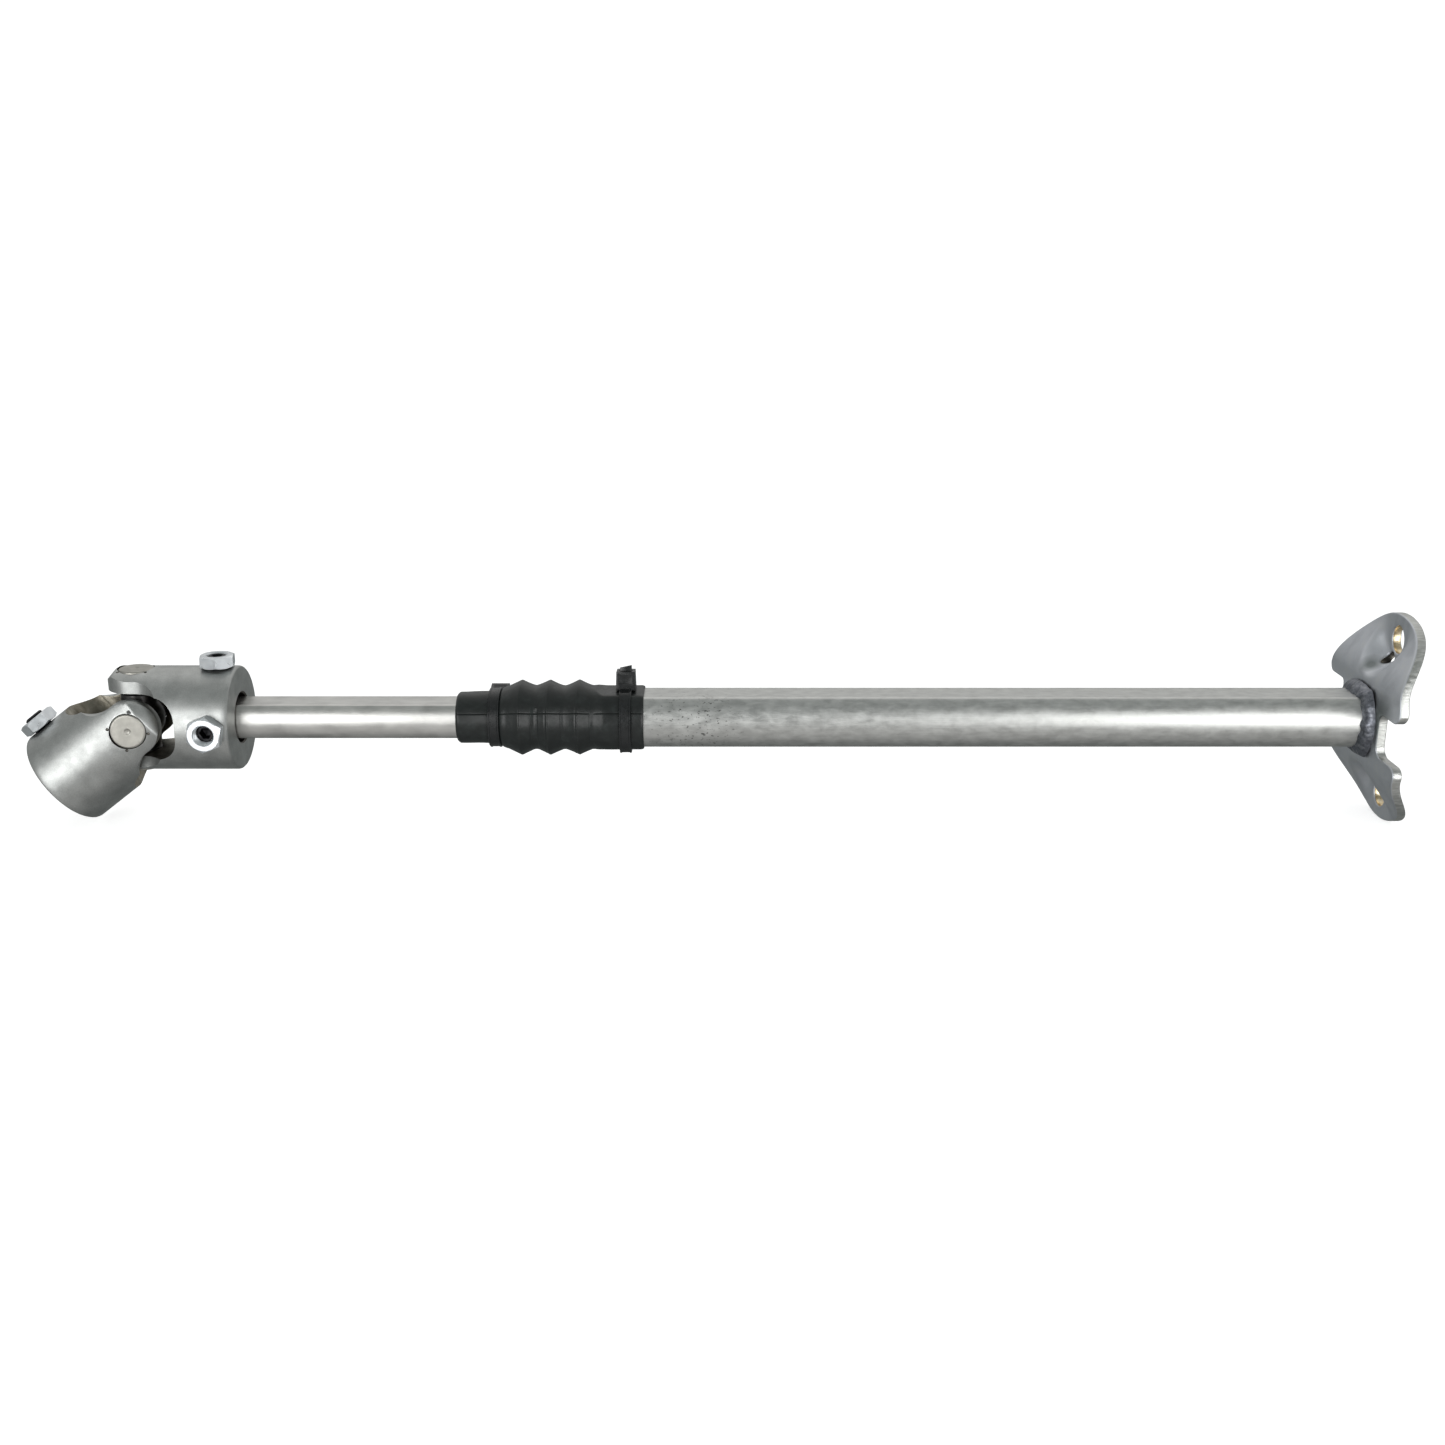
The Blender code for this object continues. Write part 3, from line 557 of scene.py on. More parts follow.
def section_radius(angles, radius, half_flat):
    """Distance from the axis to a double-D outline at each angle, with rounded corners."""
    flat = half_flat / np.maximum(np.abs(np.sin(angles)), 1e-6)
    sharpness = 60.0
    return (radius**-sharpness + flat**-sharpness) ** (-1 / sharpness)


def smooth_noise(seed, count, waves, amplitude):
    """A closed random curve made from a few sine waves."""
    rng = np.random.default_rng(seed)
    t = np.linspace(0, TAU, count, endpoint=False)
    total = np.zeros(count)
    for wave in waves:
        total += rng.normal() * np.cos(wave * t + rng.uniform(0, TAU))
    return amplitude * total / math.sqrt(len(waves))


# Universal joint


def yoke_blank():
    tip = -EAR_RADIUS
    end = YOKE_LENGTH
    profile = [(tip - MM, 0.0), (tip - MM, YOKE_RADIUS - 5.3 * MM)]
    profile += [(-7.6 * MM, YOKE_RADIUS - 0.42 * MM), (-7.0 * MM, YOKE_RADIUS - 0.07 * MM)]
    profile += [(x, YOKE_RADIUS) for x in np.linspace(-6.4 * MM, end - 1.2 * MM, 30)]
    profile += [(end - 0.6 * MM, YOKE_RADIUS - 0.18 * MM), (end - 0.18 * MM, YOKE_RADIUS - 0.6 * MM)]
    profile += [(end, YOKE_RADIUS - 1.2 * MM), (end, 0.0)]
    return turned(profile, 144)


def fork_cutter():
    reach = 2 * YOKE_RADIUS
    corner_x = FORK_DEPTH - FORK_CORNER
    corner_z = FORK_HALF_GAP - FORK_CORNER
    outline = [(-reach, -FORK_HALF_GAP)]
    outline += arc((corner_x, -corner_z), FORK_CORNER, -90, 0, 20)
    outline += arc((corner_x, corner_z), FORK_CORNER, 0, 90, 20)
    outline += [(-reach, FORK_HALF_GAP)]
    return rotated(prism(outline, -reach, reach), math.pi / 2, "X")


def ear_cutter():
    reach = 2 * YOKE_RADIUS
    flare_y = EAR_RADIUS + EAR_FLARE_RADIUS
    flare_x = EAR_FLARE_START + EAR_FLARE_RADIUS
    upper = arc((EAR_FLARE_START, flare_y), EAR_FLARE_RADIUS, 0, -90, 24)
    tip = arc((0, 0), EAR_RADIUS, 90, 270, 61)
    lower = [(x, -y) for x, y in reversed(upper)]
    outline = [(-reach, reach), (flare_x, reach)] + upper + tip + lower
    outline += [(flare_x, -reach), (-reach, -reach)]
    return prism(outline, -reach, reach)


def stake_cutter(side, corner):
    """A small round punch mark beside the bearing hole, which keeps the cup in."""
    ball = bmesh.new()
    bmesh.ops.create_icosphere(ball, subdivisions=3, radius=0.62 * MM)
    x = 7.75 * MM * math.cos(corner)
    y = 7.75 * MM * math.sin(corner)
    surface = math.sqrt(YOKE_RADIUS**2 - y**2)
    return shifted(ball, (x, y, side * (surface + 0.1 * MM)))


def double_d_bore():
    angles = np.linspace(0, TAU, 96, endpoint=False)
    radius = section_radius(angles, BAR_RADIUS + GAP, BAR_HALF_FLAT + GAP)
    return skin([ring(FORK_DEPTH / 2, radius, angles), ring(YOKE_LENGTH + MM, radius, angles)])


def splined_bore():
    count = 36
    angles = np.linspace(0, TAU, count * 6, endpoint=False)
    wave = np.clip(np.abs((angles * count / TAU) % 1 - 0.5) * 4 - 0.5, 0, 1)
    radius = 9.2 * MM + 0.55 * MM * wave
    return skin([ring(FORK_DEPTH / 2, radius, angles), ring(YOKE_LENGTH + MM, radius, angles)])


def bore_mouth(depth):
    lip = YOKE_LENGTH - 0.5 * MM
    radius = 9.95 * MM
    profile = [(YOKE_LENGTH - depth, 0), (YOKE_LENGTH - depth, radius), (lip, radius)]
    profile += [(YOKE_LENGTH + MM, radius + 1.5 * MM), (YOKE_LENGTH + MM, 0)]
    return turned(profile, 96)


def make_yoke(name, node, body, bore, mouth_depth, screws, matrix):
    """A machined fork: local +X is its open end and local Z runs along its pins."""
    mats = [MATS["yoke"]]
    yoke = finish_mesh(name, yoke_blank(), mats)
    reach = 2 * YOKE_RADIUS
    hole = [(-reach, 0), (-reach, BEARING_HOLE_RADIUS), (reach, BEARING_HOLE_RADIUS), (reach, 0)]
    cutters = [
        finish_mesh("fork_tool", fork_cutter(), [MATS["milled"]]),
        finish_mesh("ear_tool", ear_cutter(), [MATS["yoke"]]),
        finish_mesh("pin_tool", x_to(turned(hole, 96), "Z"), [MATS["bore"]]),
        finish_mesh("bore_tool", bore, [MATS["bore"]]),
        finish_mesh("mouth_tool", bore_mouth(mouth_depth), [MATS["bore"]]),
    ]
    for axis, sign in screws:
        drill = [(4 * MM, 0), (4 * MM, 4.25 * MM), (reach, 4.25 * MM), (reach, 0)]
        tool = shifted(x_to(turned(drill, 48), axis, sign), (SCREW_X, 0, 0))
        cutters.append(finish_mesh("screw_tool", tool, [MATS["bore"]]))
    for tool in cutters:
        boolean(yoke, tool)
    bevel(yoke, 0.35 * MM)
    stakes = []
    for side in (1, -1):
        for corner in (45, 135, 225, 315):
            ball = stake_cutter(side, math.radians(corner))
            stakes.append(finish_mesh("stake_tool", ball, [MATS["bore"]]))
    for tool in stakes:
        boolean(yoke, tool)
    apply_modifiers(yoke, matrix, sharp=28)
    discard(cutters + stakes)
    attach(yoke, body)
    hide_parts(node)


def make_cup(place, sign, body, matrix):
    """Bearing cup with a rolled rim, a shallow step inside it and a dimple in its centre."""
    face = CUP_FACE
    profile = [
        (CUP_MOUTH, 6.1 * MM),
        (CUP_MOUTH, CUP_RADIUS),
        (face - 0.75 * MM, CUP_RADIUS),
        (face - 0.45 * MM, CUP_RADIUS - 0.07 * MM),
        (face - 0.2 * MM, CUP_RADIUS - 0.26 * MM),
        (face - 0.05 * MM, CUP_RADIUS - 0.55 * MM),
        (face, CUP_RADIUS - 0.85 * MM),
        (face, CUP_RADIUS - 0.95 * MM),
        (face, 1.45 * MM),
        (face, 1.35 * MM),
        (face - 0.06 * MM, 1.2 * MM),
        (face - 0.25 * MM, 0.95 * MM),
        (face - 0.42 * MM, 0.5 * MM),
        (face - 0.45 * MM, 0.0),
        (19.1 * MM, 0.0),
        (19.1 * MM, 6.1 * MM),
    ]
    cup = finish_mesh(
        f"cup_{place}", x_to(turned(profile, 96), "Z", sign), [MATS["cup"]], matrix=matrix
    )
    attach(cup, body)
    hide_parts(f"bearing_cup_{place}")


def make_seal(place, axis, sign):
    profile = [(10.9 * MM, 4.4 * MM), (10.9 * MM, 6.3 * MM), (11.1 * MM, 6.6 * MM)]
    profile += [(11.6 * MM, 6.75 * MM), (11.9 * MM, 6.6 * MM), (12.2 * MM, 6.85 * MM)]
    profile += [(12.5 * MM, 6.95 * MM), (12.5 * MM, 4.4 * MM)]
    shape = x_to(turned(profile, 64), axis, sign)
    seal = finish_mesh(f"seal_{place}", shape, [MATS["seal"]], matrix=CROSS_FRAME)
    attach(seal, "cross")
    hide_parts(f"cross_seal_{place}")


def make_cross():
    end = 18.8 * MM
    arm = [(-end, 0), (-end, 3.6 * MM), (0.5 * MM - end, 4.1 * MM), (-10.6 * MM, 4.1 * MM)]
    arm += [(-10.6 * MM, 6.9 * MM), (-8.5 * MM, 7.0 * MM)]
    arm += [(-x, r) for x, r in reversed(arm)]
    cross = finish_mesh("cross_forging", x_to(turned(arm, 64), "Z"), [MATS["forging"]])
    other = finish_mesh("arm_tool", x_to(turned(arm, 64), "Y"), [MATS["forging"]])
    ball = bmesh.new()
    bmesh.ops.create_uvsphere(ball, u_segments=64, v_segments=32, radius=9.2 * MM)
    hub = finish_mesh("hub_tool", ball, [MATS["forging"]])
    boolean(cross, other, "UNION")
    boolean(cross, hub, "UNION")
    bevel(cross, 0.4 * MM)
    apply_modifiers(cross, CROSS_FRAME)
    discard([other, hub])
    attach(cross, "cross")
    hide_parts("cross")


def make_screw(place, tip, top, axis, sign, body, matrix):
    """Socket set screw with a real helical thread, a chamfered top and a hexagon socket."""
    angles = np.linspace(0, TAU, 72, endpoint=False)
    crest = SCREW_RADIUS - 0.04 * MM
    rings = [ring(tip, 2.4 * MM, angles), ring(tip + 0.1 * MM, 2.7 * MM, angles)]
    steps = int((top - tip - 1.2 * MM) / (0.13 * MM))
    for i in range(steps + 1):
        x = tip + 0.7 * MM + (top - tip - 1.2 * MM) * i / steps
        cone = 2.8 * MM + (x - tip) * 1.3
        cap = crest - 0.1 * MM + (top - 0.5 * MM - x) * 1.2
        rings.append(ring(x, np.minimum(np.minimum(thread(x, angles, crest), cone), cap), angles))
    rings.append(ring(top - 0.25 * MM, crest - 0.55 * MM, angles))
    rings.append(ring(top, crest - 0.85 * MM, angles))
    socket = hexagon(3.97 * MM, angles)
    rings.append(ring(top, socket + 0.25 * MM, angles))
    rings.append(ring(top - 0.2 * MM, socket, angles))
    rings.append(ring(top - 4.4 * MM, socket, angles))
    rings.append(ring(top - 5.0 * MM, 0.6 * MM, angles))
    shape = shifted(x_to(skin(rings), axis, sign), (SCREW_X, 0, 0))
    screw = finish_mesh(f"screw_{place}", shape, [MATS["oxide"]], sharp=35, matrix=matrix)
    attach(screw, body)
    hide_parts(f"set_screw_{place}")


def make_nut(place, turn, axis, sign, body, matrix):
    """Hexagon jam nut with chamfered corners and a threaded hole."""
    angles = math.radians(turn) + np.linspace(0, TAU, 96, endpoint=False)
    low = NUT_SEAT
    high = NUT_SEAT + NUT_HEIGHT
    side = hexagon(NUT_ACROSS, angles, math.radians(turn))
    crest = SCREW_RADIUS + 0.05 * MM
    rings = []
    lead = 0.45 * MM
    steps = 44
    for i in range(steps + 1):
        x = low + NUT_HEIGHT * i / steps
        open_end = crest + 0.25 * MM - 0.9 * min(x - low, high - x)
        wall = np.maximum(thread(x, angles, crest), open_end)
        rings.append(ring(x, wall, angles))
    rings.append(ring(high, crest + lead, angles))
    rim = NUT_ACROSS / 2 - 0.25 * MM
    drop = (side - rim) * math.tan(math.radians(30))
    rings.append(ring(high, rim, angles))
    rings.append(ring(high - drop, side, angles))
    rings.append(ring(low + drop, side, angles))
    rings.append(ring(low, rim, angles))
    rings.append(ring(low, crest + lead, angles))
    shape = shifted(x_to(skin(rings, closed=True), axis, sign), (SCREW_X, 0, 0))
    nut = finish_mesh(f"nut_{place}", shape, [MATS["zinc"]], sharp=28, matrix=matrix)
    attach(nut, body)
    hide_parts(f"jam_nut_{place}")


def make_joint():
    bar_screws = (("Z", 1), ("Y", -1))
    box_screw = ("Y", -1)
    shaft = "shaft_side"
    box = "box_side"
    make_yoke("yoke_shaft", "shaft_yoke", shaft, double_d_bore(), 15 * MM, bar_screws, AT_JOINT)
    make_yoke("yoke_box", "box_yoke", box, splined_bore(), 1.5 * MM, (box_screw,), BOX_FRAME)
    make_cross()
    make_cup("top", 1, shaft, AT_JOINT)
    make_cup("bottom", -1, shaft, AT_JOINT)
    make_cup("front", 1, box, BOX_FRAME)
    make_cup("back", -1, box, BOX_FRAME)
    for place, axis, sign in (("top", "Z", 1), ("bottom", "Z", -1), ("front", "Y", -1), ("back", "Y", 1)):
        make_seal(place, axis, sign)
    top_tip = BAR_HALF_FLAT + GAP
    side_tip = BAR_RADIUS + GAP
    box_tip = 10.85 * MM
    make_screw("top", top_tip, top_tip + 18.3 * MM, "Z", 1, shaft, AT_JOINT)
    make_screw("front", side_tip, side_tip + 12.7 * MM, "Y", -1, shaft, AT_JOINT)
    make_screw("box", box_tip, box_tip + 15.9 * MM, *box_screw, box, BOX_FRAME)
    make_nut("top", 10.0, "Z", 1, shaft, AT_JOINT)
    make_nut("front", 22.0, "Y", -1, shaft, AT_JOINT)
    make_nut("box", 18.0, *box_screw, box, BOX_FRAME)


# Bar, tube, boot and ties


def double_d_rings(stations, count):
    angles = np.linspace(0, TAU, count, endpoint=False)
    return [ring(x, section_radius(angles, radius, flat), angles) for x, radius, flat in stations]


def make_bar():
    low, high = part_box("inner_shaft")
    r, f = BAR_RADIUS, BAR_HALF_FLAT
    inset = 0.6 * MM
    stations = [(low.x, r - inset, f - inset), (low.x + inset, r, f)]
    stations += [(x, r, f) for x in np.linspace(low.x + 2 * MM, high.x - 2 * MM, 60)]
    stations += [(high.x - inset, r, f), (high.x, r - inset, f - inset)]
    shape = skin(double_d_rings(stations, 160))
    bar = finish_mesh("sliding_bar", shape, [MATS["bar"]], sharp=24)
    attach(bar, "shaft_side")
    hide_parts("inner_shaft")


def make_tube():
    low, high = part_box("outer_tube")
    r, f = TUBE_RADIUS, TUBE_HALF_FLAT
    bore = (BAR_RADIUS + GAP, BAR_HALF_FLAT + GAP)
    inset = 0.4 * MM
    stations = [(high.x, *bore), (low.x + inset, *bore), (low.x, bore[0] + inset, bore[1] + inset)]
    stations += [(low.x, r - inset, f - inset), (low.x + inset, r, f)]
    stations += [(x, r, f) for x in np.linspace(low.x + 2 * MM, high.x, 100)]
    shape = skin(double_d_rings(stations, 180), closed=True)
    tube = finish_mesh("sliding_tube", shape, [MATS["tube"]], sharp=24)
    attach(tube, "tube_side")
    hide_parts("outer_tube")


def boot_profile(x):
    """(radius, half flat) outside the boot at each x; a round part has both the same."""
    peaks = (-336.7 * MM, -325.5 * MM, -313.9 * MM)
    nearest = np.min([np.abs(x - p) for p in peaks], axis=0)
    ridge = np.clip(1 - nearest / (5.6 * MM), 0, 1) ** 1.25
    round_part = 12.75 * MM + 2.35 * MM * ridge
    shoulder = np.clip((x + 345.2 * MM) / (5.4 * MM), 0, 1)
    collar = 10.2 * MM + 0.25 * MM * np.clip((x + 362 * MM) / (14 * MM), 0, 1)
    swell = np.sqrt(np.clip(shoulder * (2 - shoulder), 0, 1))
    radius = collar + (round_part - collar) * swell
    blend = np.clip((x + 308.6 * MM) / (5 * MM), 0, 1)
    blend = blend * blend * (3 - 2 * blend)
    half_flat = radius + (11.2 * MM - radius) * blend
    radius = radius + (13.72 * MM - radius) * blend
    return radius, half_flat


def smoothed(values, passes):
    for _ in range(passes):
        middle = (values[:-2] + 2 * values[1:-1] + values[2:]) / 4
        values = np.concatenate([values[:1], middle, values[-1:]])
    return values


def make_boot():
    low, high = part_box("dust_boot")
    outer_x = np.linspace(low.x, high.x, 340)
    radius, half_flat = boot_profile(outer_x)
    radius = smoothed(radius, 3)
    half_flat = smoothed(half_flat, 3)
    seam_at = np.radians([180 - 22.0, 360 - 22.0])
    angles = np.linspace(0, TAU, 180, endpoint=False)
    near = np.radians(np.linspace(-2.4, 2.4, 9))
    keep = [min(abs((a - s + math.pi) % TAU - math.pi) for s in seam_at) > math.radians(3) for a in angles]
    angles = np.sort(np.concatenate([angles[keep], *[(s + near) % TAU for s in seam_at]]))
    offset = np.min([np.abs((angles - s + math.pi) % TAU - math.pi) for s in seam_at], axis=0)
    seam = 0.28 * MM * np.exp(-((offset / math.radians(0.75)) ** 2))
    front_low = np.clip(np.cos(angles - math.radians(180 + 18)) * 2.2 - 0.7, 0, 1)
    creases = (-332.3 * MM, -329.8 * MM, -326.4 * MM, -320.4 * MM, -314.5 * MM, -309.0 * MM)
    pip_angle = math.radians(180 - 32)
    rings = []
    edge = 1.3 * MM
    for i, x in enumerate(outer_x):
        r = section_radius(angles, radius[i], half_flat[i])
        wave = 0.05 * MM * np.sin(3 * angles + x * 310) + 0.04 * MM * np.sin(5 * angles - x * 520)
        fold = sum(math.exp(-(((x - at) / (0.32 * MM)) ** 2)) for at in creases)
        across = r * (angles - pip_angle)
        pip = 0.35 * MM * np.exp(-(((x + 330.2 * MM) ** 2 + across**2) / (0.55 * MM) ** 2))
        r = r + wave - seam + pip - 0.16 * MM * fold * front_low
        from_end = min(x - low.x, high.x - x)
        if from_end < edge:
            drop = edge * (1 - math.sqrt(max(0.0, 1 - (1 - from_end / edge) ** 2)))
            r = r - min(drop, 0.75 * MM) * (1.0 if x < -0.32 else 0.55)
        rings.append(ring(x, r, angles))
    collar_bore = (BAR_RADIUS + 0.12 * MM, BAR_HALF_FLAT + 0.12 * MM)
    sleeve_bore = (TUBE_RADIUS + 0.12 * MM, TUBE_HALF_FLAT + 0.12 * MM)
    for x, r, f in (
        (high.x, *sleeve_bore),
        (-309.0 * MM, *sleeve_bore),
        (-313.0 * MM, 11.9 * MM, 11.9 * MM),
        (-337.0 * MM, 11.7 * MM, 11.7 * MM),
        (-344.0 * MM, *collar_bore),
        (low.x, *collar_bore),
    ):
        rings.append(ring(x, section_radius(angles, r, f), angles))
    boot = finish_mesh("bellows_boot", skin(rings, closed=True), [MATS["rubber"]], sharp=60)
    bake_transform(boot)
    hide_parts("dust_boot")


def make_tie(place, node, body, x, radius, half_flat, width, turn):
    """Strap with raised rims round what it clamps, and a latch head with the cut tail in it."""
    angles = np.linspace(0, TAU, 180, endpoint=False)
    thick = 1.15 * MM
    half = width / 2
    across = [(-half, 0.0), (-half, thick - 0.25 * MM), (-half + 0.2 * MM, thick)]
    across += [(-half + 0.75 * MM, thick), (-half + 0.95 * MM, thick - 0.2 * MM)]
    across += [(-dx, h) for dx, h in reversed(across)]
    rings = []
    for dx, h in across:
        r = section_radius(angles, radius + h, half_flat + h)
        rings.append(ring(x + dx, r, angles))
    strap = finish_mesh(f"tie_{place}", skin(rings, closed=True), [MATS["nylon"]], sharp=40)
    head_low = half_flat + 0.2 * MM
    head_high = half_flat + 0.6 * MM + 7.0 * MM
    head = block((7.8 * MM, 7.8 * MM, head_high - head_low), (x, 0, (head_low + head_high) / 2))
    head_obj = finish_mesh("head_tool", head, [MATS["nylon"]])
    for face in head_obj.data.vertices:
        rise = (face.co.z - head_low) / (head_high - head_low)
        face.co.x = x + (face.co.x - x) * (1 - 0.06 * rise)
        face.co.y *= 1 - 0.1 * rise
    slot_size = (width + 0.5 * MM, 2.2 * MM, 9 * MM)
    slot_cut = finish_mesh("slot_tool", block(slot_size, (x, -0.6 * MM, head_high)), [MATS["nylon"]])
    window_size = (width + 0.2 * MM, 1.2 * MM, 3.2 * MM)
    window_at = (x, -4.15 * MM, head_low + 4.4 * MM)
    window = finish_mesh("window_tool", block(window_size, window_at), [MATS["nylon"]])
    boolean(head_obj, slot_cut)
    boolean(head_obj, window)
    bevel(head_obj, 0.45 * MM, 3)
    apply_modifiers(head_obj)
    tail_high = head_high + 1.7 * MM
    tail = block((width, 1.2 * MM, tail_high - head_low), (x, -0.55 * MM, (tail_high + head_low) / 2))
    tail_obj = finish_mesh("tail_tool", tail, [MATS["nylon"]])
    for vert in tail_obj.data.vertices:
        if vert.co.z > head_high:
            vert.co.z += 0.22 * (vert.co.x - x)
    bevel(tail_obj, 0.15 * MM, 2)
    apply_modifiers(tail_obj)
    lean = Matrix.Rotation(turn, 4, "X")
    for tool in (head_obj, tail_obj):
        tool.data.transform(lean)
        boolean(strap, tool, "UNION")
    apply_modifiers(strap, sharp=40)
    discard([head_obj, slot_cut, window, tail_obj])
    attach(strap, body)
    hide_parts(node)


def block(size, centre):
    bm = bmesh.new()
    bmesh.ops.create_cube(bm, size=1.0)
    bmesh.ops.scale(bm, verts=bm.verts, vec=size)
    return shifted(bm, centre)


def make_ties():
    small = 10.75 * MM
    make_tie(
        "small", "cable_tie_small", "shaft_side", -347.1 * MM, small, small, 4.6 * MM, math.radians(-70)
    )
    make_tie(
        "large",
        "cable_tie_large",
        "tube_side",
        -295.3 * MM,
        13.85 * MM,
        11.35 * MM,
        4.7 * MM,
        math.radians(-4),
    )


# Flange and weld


def smoothstep(t):
    t = np.clip(t, 0.0, 1.0)
    return t * t * (3.0 - 2.0 * t)


def press(u, v):
    """How far the plate is pressed towards +X, u across it and v up it."""
    u = np.abs(u)
    v = np.abs(v)
    lip_height = 0.8 * MM
    lip = lip_height * smoothstep((v - 6 * MM) / (6 * MM))
    ramp = lip + (PRESS_DEPTH - lip_height) * smoothstep((v - 15 * MM) / (26 * MM))
    reach = np.where(v > PAD_CENTRE, u, np.hypot(u, v - PAD_CENTRE))
    pad = 1 - smoothstep((reach - 8.4 * MM) / (6.5 * MM))
    return ramp * (1 - pad) + PRESS_DEPTH * pad


def plate_faces(u, v):
    step = 0.25 * MM
    along_u = (press(u + step, v) - press(u - step, v)) / (2 * step)
    along_v = (press(u, v + step) - press(u, v - step)) / (2 * step)
    steepness = np.minimum(np.sqrt(1 + along_u**2 + along_v**2) - 1, 1.0)
    depth = press(u, v)
    return depth - PLATE, depth + 0.35 * PLATE * steepness


def quarter_outline(notch):
    fillet = 3.4 * MM
    corner = 3.6 * MM
    points = arc((19.5 * MM + fillet, notch - fillet), fillet, 180, 90, 12)
    points += [(u, notch) for u in np.linspace(24 * MM, 32 * MM, 8)]
    points += arc((EAR_HALF_WIDTH - corner, notch + corner), corner, -90, 0, 10)[:-1]
    low = math.asin((notch + corner) / EAR_TIP)
    wide = EAR_HALF_WIDTH / math.cos(low)
    for angle in np.linspace(low, math.pi / 2, 56):
        points.append((wide * math.cos(angle), EAR_TIP * math.sin(angle)))
    return points


def flange_outline():
    low = quarter_outline(7.0 * MM)
    high = quarter_outline(10.2 * MM)
    upper = low + [(-u, v) for u, v in reversed(high)][1:]
    side = [(-19.5 * MM, v) for v in np.linspace(6.0 * MM, -3.0 * MM, 7)]
    half = upper + side[:-1]
    return half + [(-u, -v) for u, v in half]


HOLES = []
for _side in (1, -1):
    HOLES.append(((0.0, _side * 31.75 * MM), 5.55 * MM, 64))
    HOLES.append(((-3.5 * MM, _side * 23.6 * MM), 2.4 * MM, 32))


def in_a_hole(u, v, margin=0.0):
    return any(math.hypot(u - c[0], v - c[1]) < r + margin for c, r, _ in HOLES)


def flange_plan(grid):
    outline = flange_outline()
    loops = [outline]
    for centre, radius, count in HOLES:
        loops.append(arc(centre, radius, 0, 360 - 360 / count, count))
    points = []
    edges = []
    for loop in loops:
        first = len(points)
        points += loop
        edges += [(first + i, first + (i + 1) % len(loop)) for i in range(len(loop))]
    border = np.array(points)
    polygon = np.array(outline)
    following = np.roll(polygon, -1, axis=0)
    columns = math.ceil(EAR_HALF_WIDTH / grid)
    rows = math.ceil(EAR_TIP / (0.87 * grid))
    for i in range(-columns, columns + 1):
        for j in range(-rows, rows + 1):
            u = (i + 0.5 * (j % 2)) * grid
            v = j * grid * 0.87
            if np.hypot(border[:, 0] - u, border[:, 1] - v).min() < 0.55 * grid or in_a_hole(u, v):
                continue
            crosses = (polygon[:, 1] > v) != (following[:, 1] > v)
            rise = np.where(crosses, following[:, 1] - polygon[:, 1], 1.0)
            at = polygon[:, 0] + (following[:, 0] - polygon[:, 0]) * (v - polygon[:, 1]) / rise
            if np.count_nonzero(crosses & (u < at)) % 2:
                points.append((u, v))
    filled = delaunay_2d_cdt([Vector(p) for p in points], edges, [], 1, 1e-8)
    corners = filled[0]
    kept = []
    for triangle in filled[2]:
        middle = sum((corners[i] for i in triangle), Vector((0.0, 0.0))) / 3
        if not in_a_hole(*middle):
            kept.append(triangle)
    return corners, kept


def make_flange():
    points, triangles = flange_plan(1.15 * MM)
    us = np.array([p[0] for p in points])
    vs = np.array([p[1] for p in points])
    near_x, far_x = plate_faces(us, vs)
    bm = bmesh.new()
    near = [bm.verts.new(p) for p in np.stack([near_x, -us, vs], axis=1)]
    far = [bm.verts.new(p) for p in np.stack([far_x, -us, vs], axis=1)]
    sides = set()
    for a, b, c in triangles:
        bm.faces.new((near[a], near[b], near[c]))
        bm.faces.new((far[c], far[b], far[a]))
        sides.update(((a, b), (b, c), (c, a)))
    near_rim = []
    far_rim = []
    for a, b in sorted(sides):
        if (b, a) in sides:
            continue
        face = bm.faces.new((near[b], near[a], far[a], far[b]))
        u, v = points[a]
        face.material_index = 1
        if in_a_hole(u, v, 0.2 * MM):
            # Bolt hole walls get the gilt finish. The small relief hole walls get the dark bore steel, which
            # paints shade into that hollow.
            face.material_index = 2 if abs(v) > 26.1 * MM else 3
        near_rim.append(bm.edges.get((near[a], near[b])))
        far_rim.append(bm.edges.get((far[a], far[b])))
    bmesh.ops.recalc_face_normals(bm, faces=bm.faces)
    for rim, width, slot in ((near_rim, 0.7 * MM, 0), (far_rim, 0.35 * MM, 1)):
        bmesh.ops.bevel(
            bm,
            geom=rim,
            offset=width,
            segments=3,
            profile=0.5,
            affect="EDGES",
            clamp_overlap=True,
            material=slot,
        )
    mats = [MATS["plate"], MATS["edge"], MATS["gilt"], MATS["bore"]]
    flange = finish_mesh("pressed_flange", bm, mats, sharp=50)
    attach(flange, "tube_side")
    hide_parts("column_flange")


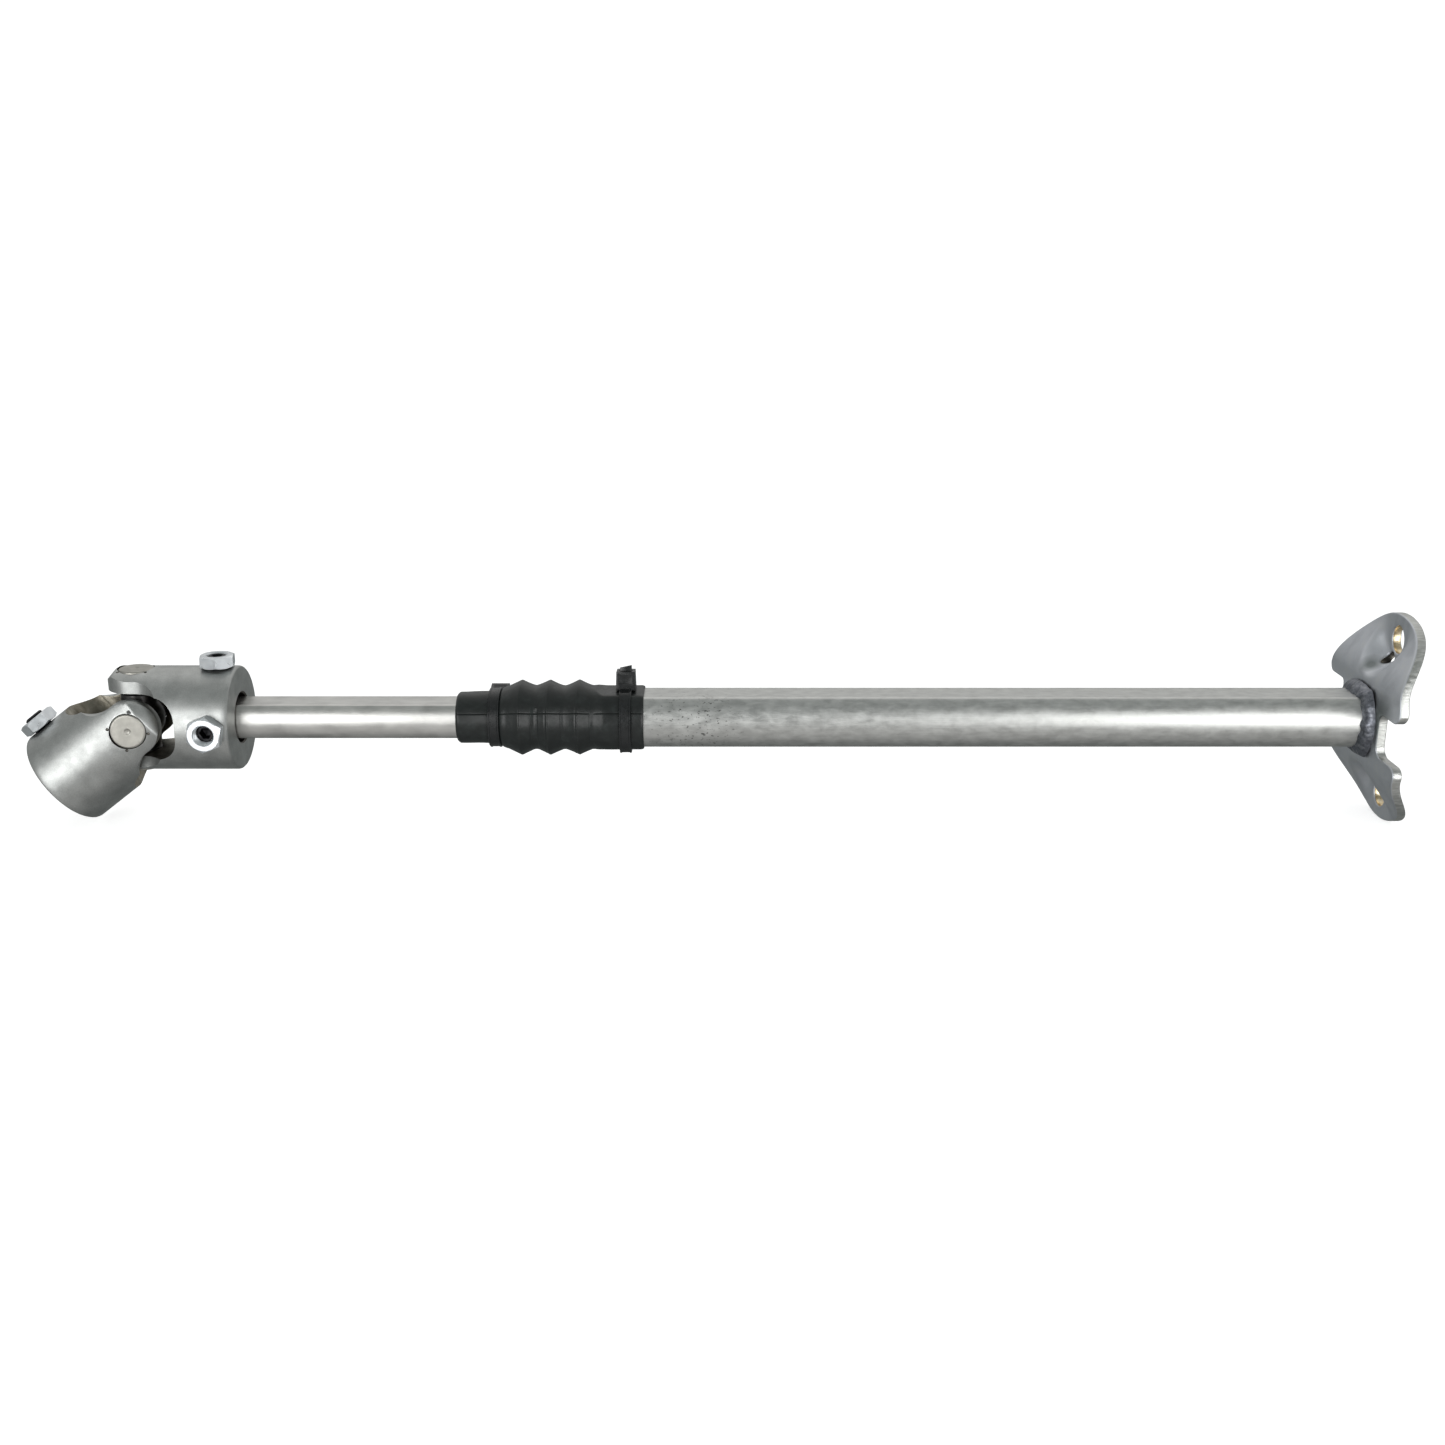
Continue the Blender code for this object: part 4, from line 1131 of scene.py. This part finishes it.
def make_weld():
    """Fillet bead with overlapping ripples round the corner between tube and plate."""
    count = 720
    angles = np.linspace(0, TAU, count, endpoint=False)
    base_r = section_radius(angles, TUBE_RADIUS + 0.02 * MM, TUBE_HALF_FLAT + 0.02 * MM)
    plate_x = -PLATE + 0.02 * MM
    ys = base_r * np.cos(angles)
    zs = base_r * np.sin(angles)
    steps = np.hypot(np.diff(ys, append=ys[0]), np.diff(zs, append=zs[0]))
    run = np.concatenate([[0], np.cumsum(steps)[:-1]])
    length = steps.sum()
    ripples = 44
    leg_x = 3.9 * MM + smooth_noise(3, count, (3, 5, 8, 13, 19), 0.3 * MM)
    leg_r = 4.3 * MM + smooth_noise(5, count, (2, 4, 7, 12, 17), 0.25 * MM)
    leg_r = np.minimum(leg_r, 5.1 * MM)
    swell = 1.0 + smooth_noise(7, count, (3, 6, 11, 16), 0.12)
    rings = [ring(plate_x, base_r, angles)]
    rows = 26
    for i in range(rows + 1):
        t = i / rows
        bow = math.sin(math.pi * t)
        along = np.abs(np.sin(math.pi * (run / length * ripples + 0.55 * (2 * t - 1) ** 2)))
        bead = bow * (0.9 * MM * swell + 0.1 * MM * (along**0.7 - 0.6))
        x = plate_x - leg_x * (1 - t)
        r = base_r + leg_r * t
        x = x - bead * 0.72
        r = r + bead * 0.62
        rings.append(ring(np.minimum(x, plate_x), r, angles))
    weld = finish_mesh("fillet_weld", skin(rings, closed=True), [MATS["weld"]], sharp=70)
    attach(weld, "tube_side")
    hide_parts("flange_weld")


# Stage, light and camera


def make_stage():
    floor_z = cad_low_z() - 0.3 * MM
    profile = [(-1.6, floor_z), (0.9, floor_z)]
    profile += [(0.9 + 0.7 * math.sin(a), floor_z + 0.7 * (1 - math.cos(a))) for a in np.linspace(0.08, 1.45, 24)]
    profile += [(1.62, floor_z + 2.6)]
    bm = bmesh.new()
    rows = [[bm.verts.new((x, y, z)) for y, z in profile] for x in (-3.2, 2.7)]
    for i in range(len(profile) - 1):
        bm.faces.new((rows[0][i], rows[1][i], rows[1][i + 1], rows[0][i + 1]))
    s = Shader("pale_backdrop", (0.9, 0.9, 0.9), 0.9, metallic=0.0)
    s.shader.inputs["Specular IOR Level"].default_value = 0.0
    s.shader.inputs["Emission Color"].default_value = (1.0, 1.0, 1.0, 1.0)
    s.shader.inputs["Emission Strength"].default_value = 0.62
    floor = finish_mesh("pale_floor", bm, [s.mat])
    floor.visible_glossy = False
    floor.visible_diffuse = False
    floor.visible_shadow = False


def cad_low_z():
    return min(corner[2] for corner in cad_box)


def make_light():
    """Two softboxes in front and one behind, in a grey room that is lighter low in front and high behind."""
    world = bpy.data.worlds.new("studio")
    bpy.context.scene.world = world
    world.use_nodes = True
    nodes = world.node_tree.nodes
    links = world.node_tree.links
    coords = nodes.new("ShaderNodeTexCoord")
    split = nodes.new("ShaderNodeSeparateXYZ")
    links.new(coords.outputs["Generated"], split.inputs["Vector"])
    product = nodes.new("ShaderNodeMath")
    product.operation = "MULTIPLY"
    links.new(split.outputs["Y"], product.inputs[0])
    links.new(split.outputs["Z"], product.inputs[1])
    to_unit = nodes.new("ShaderNodeMapRange")
    to_unit.inputs["From Min"].default_value = -0.5
    to_unit.inputs["From Max"].default_value = 0.5
    links.new(product.outputs[0], to_unit.inputs["Value"])
    ramp = nodes.new("ShaderNodeValToRGB")
    stops = (
        (0.0, (0.315, 0.335, 0.33)),
        (0.3, (0.36, 0.38, 0.375)),
        (0.5, (0.45, 0.465, 0.46)),
        (0.75, (0.67, 0.675, 0.67)),
        (1.0, (1.0, 0.995, 0.98)),
    )
    ramp.color_ramp.elements[0].color = (*stops[0][1], 1)
    ramp.color_ramp.elements[1].color = (*stops[-1][1], 1)
    for position, colour in stops[1:-1]:
        ramp.color_ramp.elements.new(position).color = (*colour, 1)
    links.new(to_unit.outputs["Result"], ramp.inputs["Fac"])
    links.new(ramp.outputs["Color"], nodes["Background"].inputs["Color"])
    to_strength = nodes.new("ShaderNodeMapRange")
    for key, value in (("From Min", -1.0), ("To Min", 0.48), ("To Max", 1.08)):
        to_strength.inputs[key].default_value = value
    links.new(split.outputs["Z"], to_strength.inputs["Value"])
    links.new(to_strength.outputs["Result"], nodes["Background"].inputs["Strength"])
    centre = Vector((-0.257, 0.0, 0.0))
    lights = (
        ("box_left", (-0.85, -0.85, 0.12), (-0.4, 0, 0), (0.6, 0.7), 4.9),
        ("box_right", (0.36, -0.85, 0.11), (-0.1, 0, 0), (0.6, 0.7), 4.6),
        ("back", (-0.257, 0.9, 1.1), centre, (1.6, 0.5), 0.2),
    )
    for name, place, aim, size, power in lights:
        data = bpy.data.lights.new(name, "AREA")
        data.shape = "RECTANGLE"
        data.size, data.size_y = size
        data.energy = power
        light = bpy.data.objects.new(name, data)
        light.location = place
        light.rotation_euler = (Vector(aim) - Vector(place)).to_track_quat("-Z", "Y").to_euler()
        bpy.context.scene.collection.objects.link(light)


def make_camera():
    data = bpy.data.cameras.new("camera")
    data.sensor_width = 36.0
    data.lens = 40.36
    data.clip_start = 0.01
    data.shift_y = -0.0038
    camera = bpy.data.objects.new("camera", data)
    target = Vector((-0.2571, 0.0, 0.0))
    elevation = math.radians(16.6)
    away = Vector((0.0, -math.cos(elevation), math.sin(elevation)))
    camera.location = target + 0.6457 * away
    camera.rotation_euler = (-away).to_track_quat("-Z", "Y").to_euler()
    bpy.context.scene.collection.objects.link(camera)
    bpy.context.scene.camera = camera


make_joint()
make_bar()
make_tube()
make_boot()
make_ties()
make_flange()
make_weld()
for place in ("top", "bottom", "front", "back"):
    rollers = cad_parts[f"needle_ring_{place}"]
    rollers.data.materials.clear()
    rollers.data.materials.append(MATS["needle"])
make_stage()
make_light()
make_camera()
bpy.context.scene.view_settings.view_transform = "Standard"
